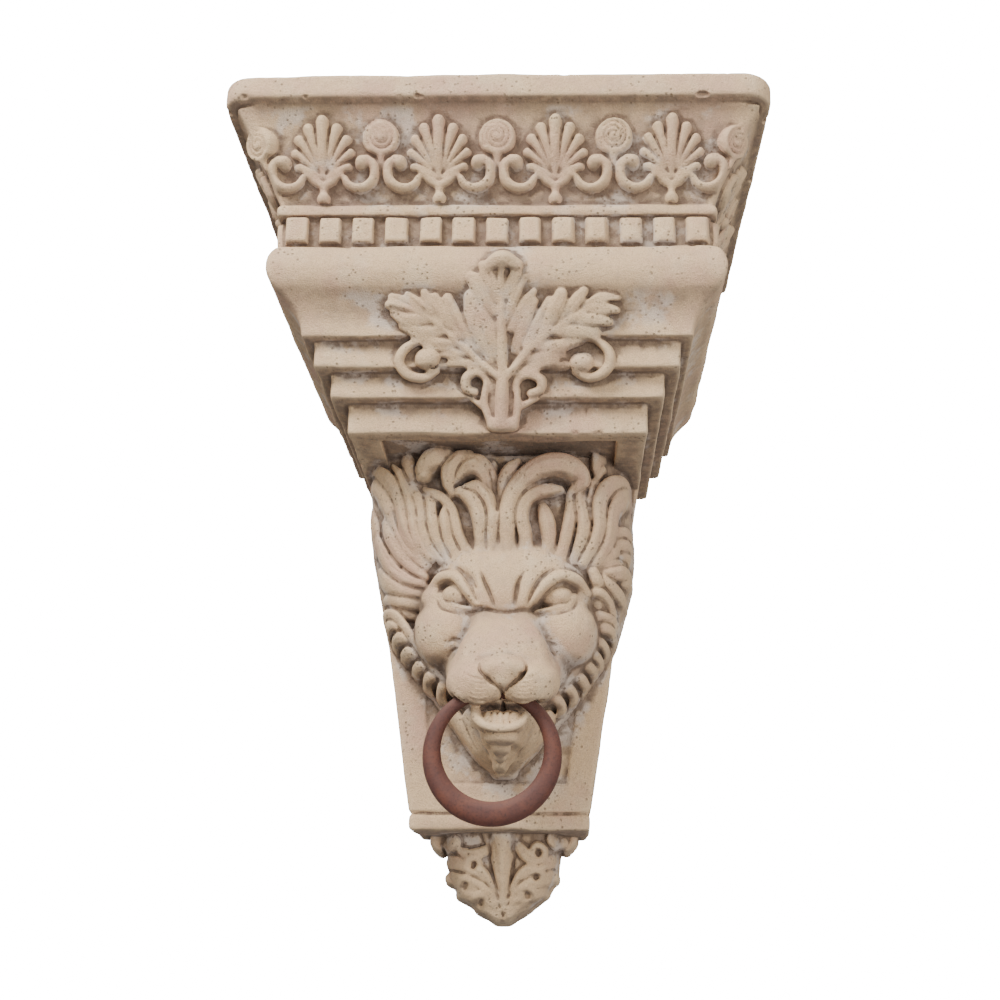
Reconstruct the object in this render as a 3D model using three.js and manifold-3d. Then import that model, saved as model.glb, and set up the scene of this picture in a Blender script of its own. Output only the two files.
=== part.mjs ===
// A wall bracket of cast stone: a moulded shelf on a tapering block, with a lion's
// head that holds a loose iron ring in its mouth and a pendant leaf below.
// Millimetres, +Z up, the front faces -Y, and the back lies on the wall plane Y = 0.
// Heights are counted down from the top of the slab, and the finished meshes are
// lifted so that the middle of the back is the origin.

import * as THREE from 'three';
import { mergeVertices } from 'three/addons/utils/BufferGeometryUtils.js';
import Module from 'manifold-3d';

const wasm = await Module();
wasm.setup();

// Overall sizes
const slabWidth = 472;
const totalHeight = 690;
const mitreExtra = 121; // each moulding is this much deeper than half its width
const originDrop = totalHeight / 2;

// Heights of the mouldings, from the top of the slab down
const slabFoot = -23;
const friezeTop = -28;
const friezeFoot = -101;
const filletFoot = -111;
const dentilFoot = -141;
const cymaFoot = -216;
const stepFeet = [-240, -262.5, -290.5];
const blockFoot = -593.5;
const plinthFoot = -609;
const pendantTip = -totalHeight;

// Half widths that go with them
const slabHalf = slabWidth / 2;
const friezeTopHalf = 222;
const friezeFootHalf = 187.5;
const filletHalf = 190.5;
const dentilGroundHalf = 183.5;
const cymaTopHalf = 190;
const cymaBulgeHalf = 195;
const cymaFootHalf = 168;
const stepHalves = [157.5, 144, 129.5];
const slabCorner = 24; // plan radius of the slab's worn corners
const sharpCorner = 5;

// The block under the shelf
const blockDepth = 109;
const blockTopHalf = 128.5;
const blockFootHalf = 80.5;

// Dentils
const dentilWidth = 20;
const dentilHeight = 25;
const dentilPitch = 28.7;
const dentilOut = 8;

// Frieze ornament
const palmettePitch = 100;
const palmetteLength = 53;
const vertexHeight = -85; // where the two arms under a palmette meet
const rosetteHeight = -51;
const rosetteRadius = 16;
const carvingDepth = 7;

// The lion's head
const headShift = 6; // the head sits a little to the right of the middle
const ringShift = -2;

// The iron ring, hung by its thin top
const ringOuter = 57.4;
const ringInner = 42.5;
const ringOffset = 5.2; // how far the hole sits above the middle of the outer circle
const ringPlane = blockDepth + 101; // its distance from the wall
const ringPivotHeight = -506;
const ringTopStock = ringOuter - ringInner - ringOffset;
const ringClearance = 1.6;

const rad = THREE.MathUtils.degToRad;
const vec = (x, y, z) => new THREE.Vector3(x, y, z);

// Turns a closed geometry into a solid, with its faces pointing out.
function solidOf(geometry, matrix = new THREE.Matrix4()) {
  const bare = geometry.clone().applyMatrix4(matrix);
  bare.deleteAttribute('normal');
  bare.deleteAttribute('uv');
  const merged = mergeVertices(bare, 1e-4);
  const corners = Uint32Array.from(merged.index.array);
  if (signedVolume(merged) < 0) {
    for (let i = 0; i < corners.length; i += 3) {
      [corners[i], corners[i + 1]] = [corners[i + 1], corners[i]];
    }
  }
  return new wasm.Manifold(new wasm.Mesh({
    numProp: 3,
    vertProperties: merged.attributes.position.array,
    triVerts: corners,
  }));
}

function signedVolume(geometry) {
  const place = geometry.attributes.position;
  const corner = geometry.index.array;
  const [a, b, c] = [vec(), vec(), vec()];
  let sum = 0;
  for (let i = 0; i < corner.length; i += 3) {
    a.fromBufferAttribute(place, corner[i]);
    b.fromBufferAttribute(place, corner[i + 1]);
    c.fromBufferAttribute(place, corner[i + 2]);
    sum += a.dot(b.cross(c));
  }
  return sum;
}

// A closed skin over rings of points that all have the same count, with flat ends.
function loft(rings) {
  const count = rings[0].length;
  const index = [];
  for (let r = 0; r < rings.length - 1; r++) {
    for (let i = 0; i < count; i++) {
      const next = (i + 1) % count;
      const [a, b] = [r * count + i, r * count + next];
      index.push(a, b, b + count, a, b + count, a + count);
    }
  }
  const last = (rings.length - 1) * count;
  for (let i = 1; i < count - 1; i++) {
    index.push(0, i + 1, i, last, last + i, last + i + 1);
  }
  const geometry = new THREE.BufferGeometry();
  geometry.setFromPoints(rings.flat());
  geometry.setIndex(index);
  return geometry;
}

// One level of a moulding that runs round three sides: a rectangle in plan from the
// wall forward, with rounded front corners.
function planRing(half, depth, height, corner) {
  const points = [vec(-half, 0, height)];
  const arcSteps = 3;
  for (const side of [-1, 1]) {
    for (let i = 0; i <= arcSteps; i++) {
      const turn = (side < 0 ? i / arcSteps : 1 - i / arcSteps) * Math.PI / 2;
      const across = side * (half - corner + corner * Math.cos(turn));
      points.push(vec(across, -(depth - corner + corner * Math.sin(turn)), height));
    }
  }
  points.push(vec(half, 0, height));
  return points;
}

// The outline of the shelf from the slab down to the third step, as half widths
// against height. Every level is mitred, so one outline serves front and sides.
function shelfOutline() {
  const outline = new THREE.Path();
  outline.moveTo(slabHalf - 2, 0);
  outline.lineTo(slabHalf, -3);
  outline.lineTo(slabHalf, slabFoot + 2);
  outline.lineTo(slabHalf - 3, slabFoot);
  outline.lineTo(friezeTopHalf, friezeTop);
  outline.lineTo(friezeFootHalf, friezeFoot);
  outline.lineTo(filletHalf, friezeFoot - 2);
  outline.lineTo(filletHalf, filletFoot);
  outline.lineTo(dentilGroundHalf, filletFoot - 1);
  outline.lineTo(dentilGroundHalf, dentilFoot);
  outline.lineTo(cymaTopHalf, dentilFoot - 1);
  const cymaHeight = dentilFoot - cymaFoot;
  outline.bezierCurveTo(
    cymaBulgeHalf + 4, dentilFoot - 0.2 * cymaHeight,
    cymaBulgeHalf + 3, dentilFoot - 0.42 * cymaHeight,
    cymaTopHalf - 6, dentilFoot - 0.55 * cymaHeight,
  );
  outline.bezierCurveTo(
    cymaTopHalf - 14, dentilFoot - 0.65 * cymaHeight,
    cymaFootHalf, dentilFoot - 0.75 * cymaHeight,
    cymaFootHalf, cymaFoot,
  );
  stepHalves.forEach((half, i) => {
    outline.lineTo(half, (i ? stepFeet[i - 1] : cymaFoot) - 0.5);
    outline.lineTo(half - 1.5, stepFeet[i]);
  });
  return outline.getPoints(5);
}

function shelfCore() {
  const rings = shelfOutline().map((point) => {
    const corner = point.y > slabFoot - 1 ? slabCorner : sharpCorner;
    return planRing(point.x, point.x + mitreExtra, point.y, corner);
  });
  return solidOf(loft(rings));
}

const blockHalfAt = (height) => THREE.MathUtils.mapLinear(
  height, stepFeet[2], blockFoot, blockTopHalf, blockFootHalf);

function blockCore() {
  const grooveDepth = 2.5;
  const levels = [
    [stepFeet[2] + 5, 0],
    [blockFoot, 0],
    [blockFoot - 1.5, grooveDepth],
    [blockFoot - 3, 0],
    [plinthFoot, 0],
    [plinthFoot - 6, 8],
    [plinthFoot - 8, 22],
  ];
  const rings = levels.map(([height, inset]) => {
    const half = blockHalfAt(Math.max(height, blockFoot)) - Math.min(inset, 12);
    return planRing(half, blockDepth - inset, height, 3);
  });
  return solidOf(loft(rings));
}

// A box given by its lowest and highest corners.
function block(low, high) {
  const size = high.clone().sub(low);
  const middle = low.clone().add(high).multiplyScalar(0.5);
  const shape = new THREE.BoxGeometry(size.x, size.y, size.z);
  return solidOf(shape, new THREE.Matrix4().setPosition(middle));
}

// The sunk panel in the soffit, open at the back where the block and the head fill it.
function soffitPanel() {
  const half = 103;
  const front = stepHalves[2] + mitreExtra - 20;
  const sunk = 5;
  return block(vec(-half, -front, stepFeet[2] - 1), vec(half, -blockDepth, stepFeet[2] + sunk));
}

// A ball stretched to three half sizes, turned about X, at a place.
function mass(centre, halves, tilt = 0, segments = 10) {
  const shape = new THREE.SphereGeometry(1, segments, Math.round(segments * 0.6));
  const turned = new THREE.Quaternion().setFromEuler(new THREE.Euler(rad(tilt), 0, 0));
  return solidOf(shape, new THREE.Matrix4().compose(centre, turned, halves));
}

// A lock of hair, a stem or a scroll: a bent tapering bar through the points, with a
// ridge along its outer side. sizes are half widths at its start, middle and end.
function lock(points, sizes, { flat = 0.8, sides = 5, steps = 4 } = {}) {
  const curve = new THREE.CatmullRomCurve3(points);
  const outward = vec(0, -1, 0);
  const rings = [];
  for (let i = 0; i <= steps; i++) {
    const t = i / steps;
    const along = curve.getTangent(t);
    const across = along.clone().cross(outward).normalize();
    const out = across.clone().cross(along).normalize();
    const half = t < 0.5
      ? THREE.MathUtils.lerp(sizes[0], sizes[1], t * 2)
      : THREE.MathUtils.lerp(sizes[1], sizes[2], t * 2 - 1);
    const ring = [];
    for (let k = 0; k < sides; k++) {
      const turn = k / sides * 2 * Math.PI;
      ring.push(curve.getPoint(t)
        .addScaledVector(out, Math.cos(turn) * half * flat)
        .addScaledVector(across, Math.sin(turn) * half));
    }
    rings.push(ring);
  }
  return solidOf(loft(rings));
}

// Dentils along the front and both sides, each sunk a little into its ground.
function dentils() {
  const parts = [];
  const low = filletFoot - 2 - dentilHeight;
  const high = filletFoot - 2;
  const face = dentilGroundHalf + dentilOut;
  const back = dentilGroundHalf - 3;
  const perSide = 6;
  for (let i = -perSide; i <= perSide; i++) {
    const x = i * dentilPitch;
    parts.push(block(
      vec(x - dentilWidth / 2, -(face + mitreExtra), low),
      vec(x + dentilWidth / 2, -(back + mitreExtra), high)));
  }
  const sideRow = 10;
  for (const side of [-1, 1]) {
    for (let i = 0; i < sideRow; i++) {
      const y = -(dentilGroundHalf + mitreExtra) + 6 + (i + 0.25) * dentilPitch;
      parts.push(block(
        vec(Math.min(side * back, side * face), y - dentilWidth / 2, low),
        vec(Math.max(side * back, side * face), y + dentilWidth / 2, high)));
    }
  }
  return parts;
}

// The frame of a place on the sloping frieze: X along the face, Y up the slope and Z
// out of the stone. turn is 0 on the front, and a quarter turn on each side.
function onFrieze(turn, along, height, reach) {
  const lean = Math.atan2(friezeTopHalf - friezeFootHalf, friezeTop - friezeFoot);
  const half = THREE.MathUtils.mapLinear(
    height, friezeFoot, friezeTop, friezeFootHalf, friezeTopHalf);
  return new THREE.Matrix4().makeRotationZ(turn)
    .multiply(new THREE.Matrix4().makeTranslation(along, -(half + reach), height))
    .multiply(new THREE.Matrix4().makeRotationX(Math.PI / 2 + lean));
}

// A flat raised carving: its outline pushed out of the frieze, with its back sunk in.
function raised(shape, frame, height = carvingDepth) {
  const plate = new THREE.ExtrudeGeometry(shape, { depth: height + 2, bevelEnabled: false });
  const sunk = new THREE.Matrix4().makeTranslation(0, 0, -2);
  return solidOf(plate, frame.clone().multiply(sunk));
}

// A fan of seven ribs with a notch between each two.
function palmetteFan() {
  const fan = new THREE.Shape([new THREE.Vector2(-3, 3)]);
  const spread = 15.5; // degrees from rib to rib
  const polar = (length, lean) => fan.lineTo(
    length * Math.sin(rad(lean)), length * Math.cos(rad(lean)));
  for (let k = -3; k <= 3; k++) {
    const length = palmetteLength - 5 * Math.abs(k);
    polar(length, spread * k);
    if (k < 3) {
      polar(length * 0.76, spread * (k + 0.5));
    }
  }
  fan.lineTo(3, 3);
  return fan;
}

// The arm and the crescent scroll on one side of a palmette, with a ball at the end.
function scrollShape(side) {
  const centre = [30, 11];
  const ball = [35, 21.5];
  const scroll = new THREE.Shape([new THREE.Vector2(0, -3)]);
  const around = (middle, radius, turn) => scroll.lineTo(
    side * (middle[0] + radius * Math.cos(rad(turn))), middle[1] + radius * Math.sin(rad(turn)));
  for (const turn of [205, 265, 330, 400]) {
    around(centre, 17, turn);
  }
  for (const turn of [110, 190, 270]) {
    around(ball, 7.5, turn);
  }
  for (const turn of [345, 270, 205]) {
    around(centre, 11, turn);
  }
  scroll.lineTo(0, 4);
  return scroll;
}

function palmetteUnit(turn, along, reach) {
  const frame = onFrieze(turn, along, vertexHeight, reach);
  const drop = new THREE.CylinderGeometry(4, 6.5, 9, 5);
  return [
    raised(palmetteFan(), frame),
    raised(scrollShape(-1), frame, carvingDepth - 1),
    raised(scrollShape(1), frame, carvingDepth - 1),
    solidOf(drop, frame.clone()
      .multiply(new THREE.Matrix4().makeTranslation(0, -9, 3))
      .multiply(new THREE.Matrix4().makeRotationX(Math.PI / 2))),
  ];
}

function rosette(frame) {
  const profile = [[0, -3], [rosetteRadius, -3], [rosetteRadius - 2, 7], [rosetteRadius - 8, 6],
    [0, 9]].map(([r, y]) => new THREE.Vector2(r, y));
  const disc = new THREE.LatheGeometry(profile, 8);
  return solidOf(disc, frame.clone().multiply(new THREE.Matrix4().makeRotationX(Math.PI / 2)));
}

function frieze() {
  const parts = [];
  const cornerHalf = 205;
  const fromCorner = cornerHalf + mitreExtra - 55; // the first palmette on each side
  for (const along of [-1.5, -0.5, 0.5, 1.5]) {
    parts.push(...palmetteUnit(0, along * palmettePitch, mitreExtra));
  }
  for (const along of [-1, 0, 1]) {
    parts.push(rosette(onFrieze(0, along * palmettePitch, rosetteHeight, mitreExtra)));
  }
  for (const side of [-1, 1]) {
    const turn = side * Math.PI / 2;
    for (const back of [fromCorner, fromCorner - palmettePitch, fromCorner - 2 * palmettePitch]) {
      parts.push(...palmetteUnit(turn, -side * back, 0));
      parts.push(rosette(onFrieze(turn, -side * (back - palmettePitch / 2), rosetteHeight, 0)));
    }
    parts.push(rosette(new THREE.Matrix4()
      .makeTranslation(side * cornerHalf, -(cornerHalf + mitreExtra), rosetteHeight)
      .multiply(new THREE.Matrix4().makeRotationZ(side * Math.PI / 4))
      .multiply(new THREE.Matrix4().makeRotationX(rad(112)))));
  }
  return parts;
}

// The acanthus leaf leans over the cyma and the steps and touches their edges. Its frame
// has X along the front, Y up the lean from the leaf's foot and Z out of the stone.
const leafLean = Math.atan2(cymaBulgeHalf - stepHalves[2], dentilFoot - 20 - stepFeet[2]);
const leafFrame = new THREE.Matrix4()
  .setPosition(4, -(stepHalves[2] + mitreExtra), stepFeet[2])
  .multiply(new THREE.Matrix4().makeRotationX(Math.PI / 2 + leafLean));

function onLeaf(x, y, out) {
  return vec(x, y, out).applyMatrix4(leafFrame);
}

// The leaf's outline: right of the stem from the curled top out over three lobes to the
// side tip, and back under it to the cup at the foot. The left side mirrors it.
function leafBlade() {
  const half = [[8, 149], [18, 140], [27, 125], [34, 107], [41, 123], [51, 120], [53, 105],
    [60, 121], [72, 123], [76, 115], [99, 111], [92, 95], [80, 82], [61, 70], [40, 64],
    [27, 52], [16, 44], [13, 8]];
  const mirrored = half.toReversed().map(([x, y]) => [-x, y]);
  const blade = new THREE.Shape([...half, ...mirrored].map(([x, y]) => new THREE.Vector2(x, y)));
  const thick = 28;
  const above = 8;
  const leaf = new THREE.ExtrudeGeometry(blade, { depth: thick, bevelEnabled: false });
  return solidOf(leaf, leafFrame.clone()
    .multiply(new THREE.Matrix4().makeTranslation(0, 0, above - thick)));
}

function acanthus() {
  const parts = [leafBlade()];
  parts.push(lock([onLeaf(0, 4, 8), onLeaf(0, 80, 9), onLeaf(0, 150, 10)], [10, 6, 6]));
  parts.push(mass(onLeaf(0, 5, 6), vec(17, 12, 9), 0, 8));
  parts.push(mass(onLeaf(0, 143, 9), vec(17, 9, 9), 0, 8));
  for (const side of [-1, 1]) {
    parts.push(lock([onLeaf(side * 8, 30, 8), onLeaf(side * 40, 82, 9),
      onLeaf(side * 92, 109, 7)], [7, 5, 3], { sides: 4, steps: 3 }));
    parts.push(lock([onLeaf(side * 6, 60, 8), onLeaf(side * 46, 116, 7)], [5, 4, 3],
      { sides: 4, steps: 1 }));
    const volute = [120, 50, -20, -90, -160].map((turn) => onLeaf(
      side * (76 + 13 * Math.cos(rad(turn))), 66 + 13 * Math.sin(rad(turn)), 3));
    parts.push(lock(volute, [5, 6, 5], { flat: 1.2, steps: 5, sides: 4 }));
    parts.push(mass(onLeaf(side * 70, 62, 0), vec(8, 8, 8), 0, 6));
    parts.push(lock([onLeaf(side * 14, 26, 5), onLeaf(side * 20, 46, 6), onLeaf(side * 32, 46, 5)],
      [6, 6, 6], { sides: 4 }));
  }
  return parts;
}

// The lion's head is worked out as a depth in front of the block for each place on it:
// x from the head's middle line, z from the top. Softly joined forms make the depth.

const softMax = (a, b, soft = 6) => {
  const blend = Math.max(soft - Math.abs(a - b), 0) / soft;
  return Math.max(a, b) + blend * blend * soft / 4;
};

// A round-ended bar seen from the front. Each end is [x, z, depth of its axis, radius].
function barDepth(x, z, from, to) {
  const [dx, dz] = [to[0] - from[0], to[1] - from[1]];
  const run = ((x - from[0]) * dx + (z - from[1]) * dz) / (dx * dx + dz * dz || 1);
  const t = THREE.MathUtils.clamp(run, 0, 1);
  const [midX, midZ, axis, radius] = from.map((value, i) => THREE.MathUtils.lerp(value, to[i], t));
  const away = Math.hypot(x - midX, z - midZ) / radius;
  return axis + (away < 1 ? radius * Math.sqrt(1 - away * away) : -2 * radius * (away - 1));
}

// A swelling that stands forward from a base depth: oval at power 2, squarer above it.
function domeDepth(x, z, [midX, midZ], [halfX, halfZ], base, rise, power = 2) {
  const away = Math.abs((x - midX) / halfX) ** power + Math.abs((z - midZ) / halfZ) ** power;
  return base + (away < 1 ? rise * Math.sqrt(1 - away) : -2 * rise * (away - 1));
}

// Reads rows that start with a height: their other values at any height between them.
function atHeight(rows, z) {
  const below = THREE.MathUtils.clamp(rows.findIndex(([height]) => height <= z), 1, rows.length - 1);
  const [upper, lower] = [rows[below - 1], rows[below]];
  return upper.slice(1).map((value, i) => THREE.MathUtils.mapLinear(
    THREE.MathUtils.clamp(z, lower[0], upper[0]), upper[0], lower[0], value, lower[i + 1]));
}

// The mane by height: its left and right edges and how far it stands out. It is full
// beside the face and closes in a V under the chin.
const maneRows = [[stepFeet[2], -130, 114, 80], [-350, -128, 117, 78], [-400, -119, 112, 64],
  [-444, -108, 99, 44], [-470, -88, 84, 40], [-500, -64, 63, 34], [-545, -30, 24, 20],
  [-566, -10, 6, 8]];
const faceMiddle = -432;

// The mane's locks: ridges that fan out from the face and bend as they go, and the
// rolled rim of the ruff under the cheeks.
function maneDepth(x, z) {
  const [left, right, body] = atHeight(maneRows, z);
  const reach = Math.min(Math.abs(2 * x - left - right) / (right - left), 1);
  const turn = Math.atan2(x, z - faceMiddle);
  const away = Math.hypot(x, (z - faceMiddle) * 0.9);
  const lockCount = 22;
  const bend = 0.3 * Math.sin(away / 28);
  const ridge = Math.abs(Math.cos(lockCount / 2 * (turn + Math.sign(x) * bend * 0.5)));
  const ruff = THREE.MathUtils.smoothstep(away, 60, 100);
  const locks = body * (1 - reach ** 5) ** 0.5 + 14 * (ridge - 0.5) * ruff + 6 * ruff;
  const rim = barDepth(Math.abs(x), z, [92, -438, 48, 7], [44, -495, 42, 7]);
  return softMax(locks, rim, 3);
}

// The two large curls over the forehead rise, bend outwards and hook down.
function curlDepth(x, z) {
  const path = [[8, -374, 78, 9], [9, -338, 84, 11], [22, -306, 92, 12], [46, -300, 92, 12],
    [56, -318, 84, 8]];
  let depth = 0;
  for (let i = 1; i < path.length; i++) {
    depth = Math.max(depth, barDepth(Math.abs(x), z, path[i - 1], path[i]));
  }
  return depth;
}

// The forehead hangs over the eyes in an edge that runs from the temples down to the
// root of the nose, with two folds in it on each side.
function browDepth(side, z) {
  const edge = -405 - 27 * (Math.abs(side - 48) / 48) ** 0.8;
  const folds = [[20, -399, 7, -428], [40, -395, 24, -424]];
  const brow = domeDepth(side, z, [0, -410], [84, 56], 16, 84, 2.6);
  const cut = folds.reduce((deepest, [topX, topZ, footX, footZ]) => Math.max(
    deepest, barDepth(side, z, [topX, topZ, 0, 4], [footX, footZ, 0, 4])), 0);
  return brow - 0.6 * cut - 36 * THREE.MathUtils.smoothstep(edge - z, 0, 13);
}

function faceDepth(x, z) {
  const side = Math.abs(x);
  let depth = domeDepth(side, z, [0, faceMiddle], [84, 62], 8, 70, 2.5);
  const forms = [ // middle, half sizes, base depth, rise and how softly each joins
    [[50, -447], [34, 32], 44, 42, 10], // cheek
    [[66, -412], [16, 24], 40, 34, 8], // temple
    [[44, -415], [14, 11], 64, 17, 1], // eye
    [[0, -452], [26, 34], 70, 27, 10], // bridge of the nose
    [[0, -488], [45, 27], 86, 38, 9], // muzzle
    [[0, -470], [31, 22], 90, 30, 10],
    [[23.5, -499], [24, 19], 99, 31, 4], // whisker pad
    [[0, -506], [12, 9], 109, 14, 4],
    [[0, -491], [18.5, 11], 122, 16, 1.5], // nose
    [[0, -502], [9, 8], 120, 13, 2],
    [[0, -530], [24, 13], 92, 23, 3], // jaw
    [[0, -546], [14, 9], 90, 16, 3],
  ];
  for (const [middle, half, base, rise, soft] of forms) {
    depth = softMax(depth, domeDepth(side, z, middle, half, base, rise), soft);
  }
  return softMax(depth, browDepth(side, z), 1.5);
}

// The beard steps back from the chin to a point on the block, in rows of tufts.
function beardDepth(x, z) {
  const rows = [[-546, 86, 19], [-552, 56, 16], [-557, 28, 13], [-562, 6, 10]];
  return rows.reduce((deepest, [row, axis, radius]) => Math.max(
    deepest, barDepth(x, z, [-2, row, axis, radius], [2, row, axis, radius])), 0);
}

function headDepth(x, z) {
  const hair = softMax(maneDepth(x, z), curlDepth(x, z), 3);
  return blockDepth + Math.max(softMax(hair, faceDepth(x, z), 5), beardDepth(x, z));
}

// The head as a solid: a net of depths in front, a flat back sunk in the block, cut to
// the outline of the mane.
function head() {
  const spacing = 7.3;
  const back = blockDepth - 14;
  const [half, low, high] = [130, -578, stepFeet[2] + 4];
  const lean = -6; // the net's middle lies this far beside the face's
  const columns = Math.round(2 * half / spacing);
  const rows = Math.round((high - low) / spacing);
  const front = new THREE.PlaneGeometry(2 * half, high - low, columns, rows);
  const place = front.attributes.position;
  const middle = (high + low) / 2;
  const points = [];
  for (let i = 0; i < place.count; i++) {
    const [x, z] = [place.getX(i) + lean, place.getY(i) + middle];
    points.push(vec(headShift + x, -Math.max(headDepth(x, Math.min(z, stepFeet[2])), back + 4), z));
  }
  const across = columns + 1;
  const index = [];
  for (let cell = 0; cell < rows * across; cell++) {
    if (cell % across === columns) {
      continue;
    }
    const [a, b, c, d] = [cell, cell + across, cell + across + 1, cell + 1];
    const step = (from, to) => Math.abs(points[from].y - points[to].y);
    const flatter = step(a, c) < step(b, d); // each cell is split along its flatter diagonal
    index.push(...(flatter ? [a, b, c, a, c, d] : [a, b, d, b, c, d]));
  }
  const rim = [
    ...Array.from({ length: columns }, (_, i) => i),
    ...Array.from({ length: rows }, (_, i) => i * across + columns),
    ...Array.from({ length: columns }, (_, i) => rows * across + columns - i),
    ...Array.from({ length: rows }, (_, i) => (rows - i) * across),
  ];
  const start = points.length;
  rim.forEach((corner) => points.push(points[corner].clone().setY(-back)));
  points.push(vec(headShift, -back, middle));
  rim.forEach((corner, i) => {
    const next = (i + 1) % rim.length;
    index.push(corner, rim[next], start + next, corner, start + next, start + i);
    index.push(start + i, start + next, points.length - 1);
  });
  const net = new THREE.BufferGeometry().setFromPoints(points);
  net.setIndex(index);
  return solidOf(net).intersect(maneOutline());
}

// The mane's outline as a thick plate, with the ends of the side locks along its edge.
function maneOutline() {
  const edge = [];
  const notches = 11;
  for (let i = 0; i <= 2 * notches; i++) {
    const z = THREE.MathUtils.lerp(stepFeet[2] + 4, -566, i / (2 * notches));
    const [left, right] = atHeight(maneRows, z);
    const notch = i % 2 ? 3 : -2;
    edge.push([right + notch, z]);
    edge.unshift([left - notch, z]);
  }
  const plate = new THREE.Shape(edge.map(([x, z]) => new THREE.Vector2(x + headShift, z)));
  const thick = 200;
  const outline = new THREE.ExtrudeGeometry(plate, { depth: thick, bevelEnabled: false });
  return solidOf(outline, new THREE.Matrix4().makeTranslation(0, -(blockDepth - 10), 0)
    .multiply(new THREE.Matrix4().makeRotationX(Math.PI / 2)));
}

// From the pivot, the middle of the ring's thin top, down to the outer circle's middle.
const ringPivotOffset = () => -ringOuter + ringTopStock / 2;

// The ring's bar cut across at one place round it, counted from the top. Its hole sits
// high in the outer circle, so the top is thin and the bottom thick. grow swells it.
function ringSection(turn, grow, sides, middleHeight) {
  const ray = vec(Math.sin(turn), 0, Math.cos(turn));
  const across = ringOffset * Math.sin(turn);
  const near = ringOffset * Math.cos(turn) + Math.sqrt(ringInner ** 2 - across ** 2);
  const stock = (ringOuter - near) / 2;
  const section = [];
  for (let k = 0; k < sides; k++) {
    const spin = (k + 0.5) / sides * 2 * Math.PI;
    const point = ray.clone().multiplyScalar(near + stock + (stock + grow) * Math.cos(spin));
    point.y = (0.75 * stock + 1.2 + grow) * Math.sin(spin);
    point.z += middleHeight;
    section.push(point);
  }
  return section;
}

function ringGeometry() {
  const around = 28;
  const sides = 8;
  const rings = [];
  const index = [];
  for (let r = 0; r < around; r++) {
    rings.push(ringSection(r / around * 2 * Math.PI, 0, sides, ringPivotOffset()));
    for (let k = 0; k < sides; k++) {
      const [a, b] = [r * sides + k, r * sides + (k + 1) % sides];
      const [c, d] = [a, b].map((corner) => (corner + sides) % (around * sides));
      index.push(a, d, b, a, c, d);
    }
  }
  const geometry = new THREE.BufferGeometry();
  geometry.setFromPoints(rings.flat());
  geometry.setIndex(index);
  return geometry;
}

const ringPivot = vec(ringShift, -ringPlane, ringPivotHeight);

// The way through the mouth: the top of the ring's own path as it swings, with room
// round it.
function mouthChannel() {
  const swings = [4, -18, -40];
  const reach = 68; // how far round the top of the ring the cutter runs, in degrees
  const steps = 6;
  const middle = ringPivotOffset();
  return swings.map((swing) => {
    const rings = [];
    for (let i = 0; i <= steps; i++) {
      const turn = rad(reach * (2 * i / steps - 1));
      rings.push(ringSection(turn, ringClearance, 6, middle));
    }
    return solidOf(loft(rings), new THREE.Matrix4().setPosition(ringPivot)
      .multiply(new THREE.Matrix4().makeRotationX(rad(swing))));
  });
}

// The pendant leaf under the plinth: a tapering body, two volutes at the top corners,
// a fluted stem down the middle and lobes that narrow towards the tip.
function pendant() {
  const top = plinthFoot + 2;
  const back = blockDepth - 84; // what stands behind the leaf's own thickness
  const levels = [[top, 56, 56], [-628, 57, 50], [-640, 50, 44], [-656, 44, 38], [-671, 35, 32],
    [-682, 22, 26], [pendantTip, 12, 20]];
  const body = levels.map(([height, half, depth]) => planRing(
    half, back + depth, height, Math.min(half, depth) * 0.35));
  const parts = [solidOf(loft(body))];
  const at = (x, out, height) => vec(x, -back - out, height);
  parts.push(lock([at(0, 56, top), at(0, 50, -640), at(0, 34, -676)], [13, 7, 4]));
  const lobes = [[30, 50, -634, 13], [33, 44, -652, 12], [22, 36, -667, 11]];
  for (const side of [-1, 1]) {
    parts.push(lock([at(side * 16, 56, -616), at(side * 38, 60, -616), at(side * 56, 57, -618),
      at(side * 59, 51, -626), at(side * 50, 53, -630)], [6, 7, 6]));
    for (const [x, out, height, size] of lobes) {
      parts.push(mass(at(side * x, out - 4, height), vec(size, 11, size), 0, 7));
    }
  }
  return parts;
}

function bracketBody() {
  const join = (joined, part) => joined.add(part);
  const shelf = [shelfCore(), ...dentils(), ...frieze(), ...acanthus()].reduce(join);
  const below = [blockCore(), head(), ...pendant()];
  let body = below.reduce(join, shelf.subtract(soffitPanel()));
  body = body.subtract(block(vec(-slabHalf, 0, pendantTip), vec(slabHalf, blockDepth, 0)));
  for (const channel of mouthChannel()) {
    body = body.subtract(channel);
  }
  return body;
}

// The outer skin alone: hollows shut inside, where carvings overlap, are filled by
// keeping only the triangles that hang together with the farthest corner.
function outerSkin(place, corners) {
  const owner = Array.from({ length: place.length / 3 }, (_, i) => i);
  const find = (i) => {
    while (owner[i] !== i) {
      owner[i] = owner[owner[i]];
      i = owner[i];
    }
    return i;
  };
  for (let i = 0; i < corners.length; i += 3) {
    owner[find(corners[i + 1])] = find(corners[i]);
    owner[find(corners[i + 2])] = find(corners[i]);
  }
  let farthest = 0;
  for (let i = 0; i < place.length; i += 3) {
    farthest = place[i] > place[farthest] ? i : farthest;
  }
  const skin = find(farthest / 3);
  return corners.filter((_, i) => find(corners[i - i % 3]) === skin);
}

function geometryOf(solid) {
  const { vertProperties, triVerts } = solid.getMesh();
  const geometry = new THREE.BufferGeometry();
  geometry.setAttribute('position', new THREE.BufferAttribute(vertProperties, 3));
  geometry.setIndex(new THREE.BufferAttribute(outerSkin(vertProperties, triVerts), 1));
  geometry.computeVertexNormals();
  return geometry;
}

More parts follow.
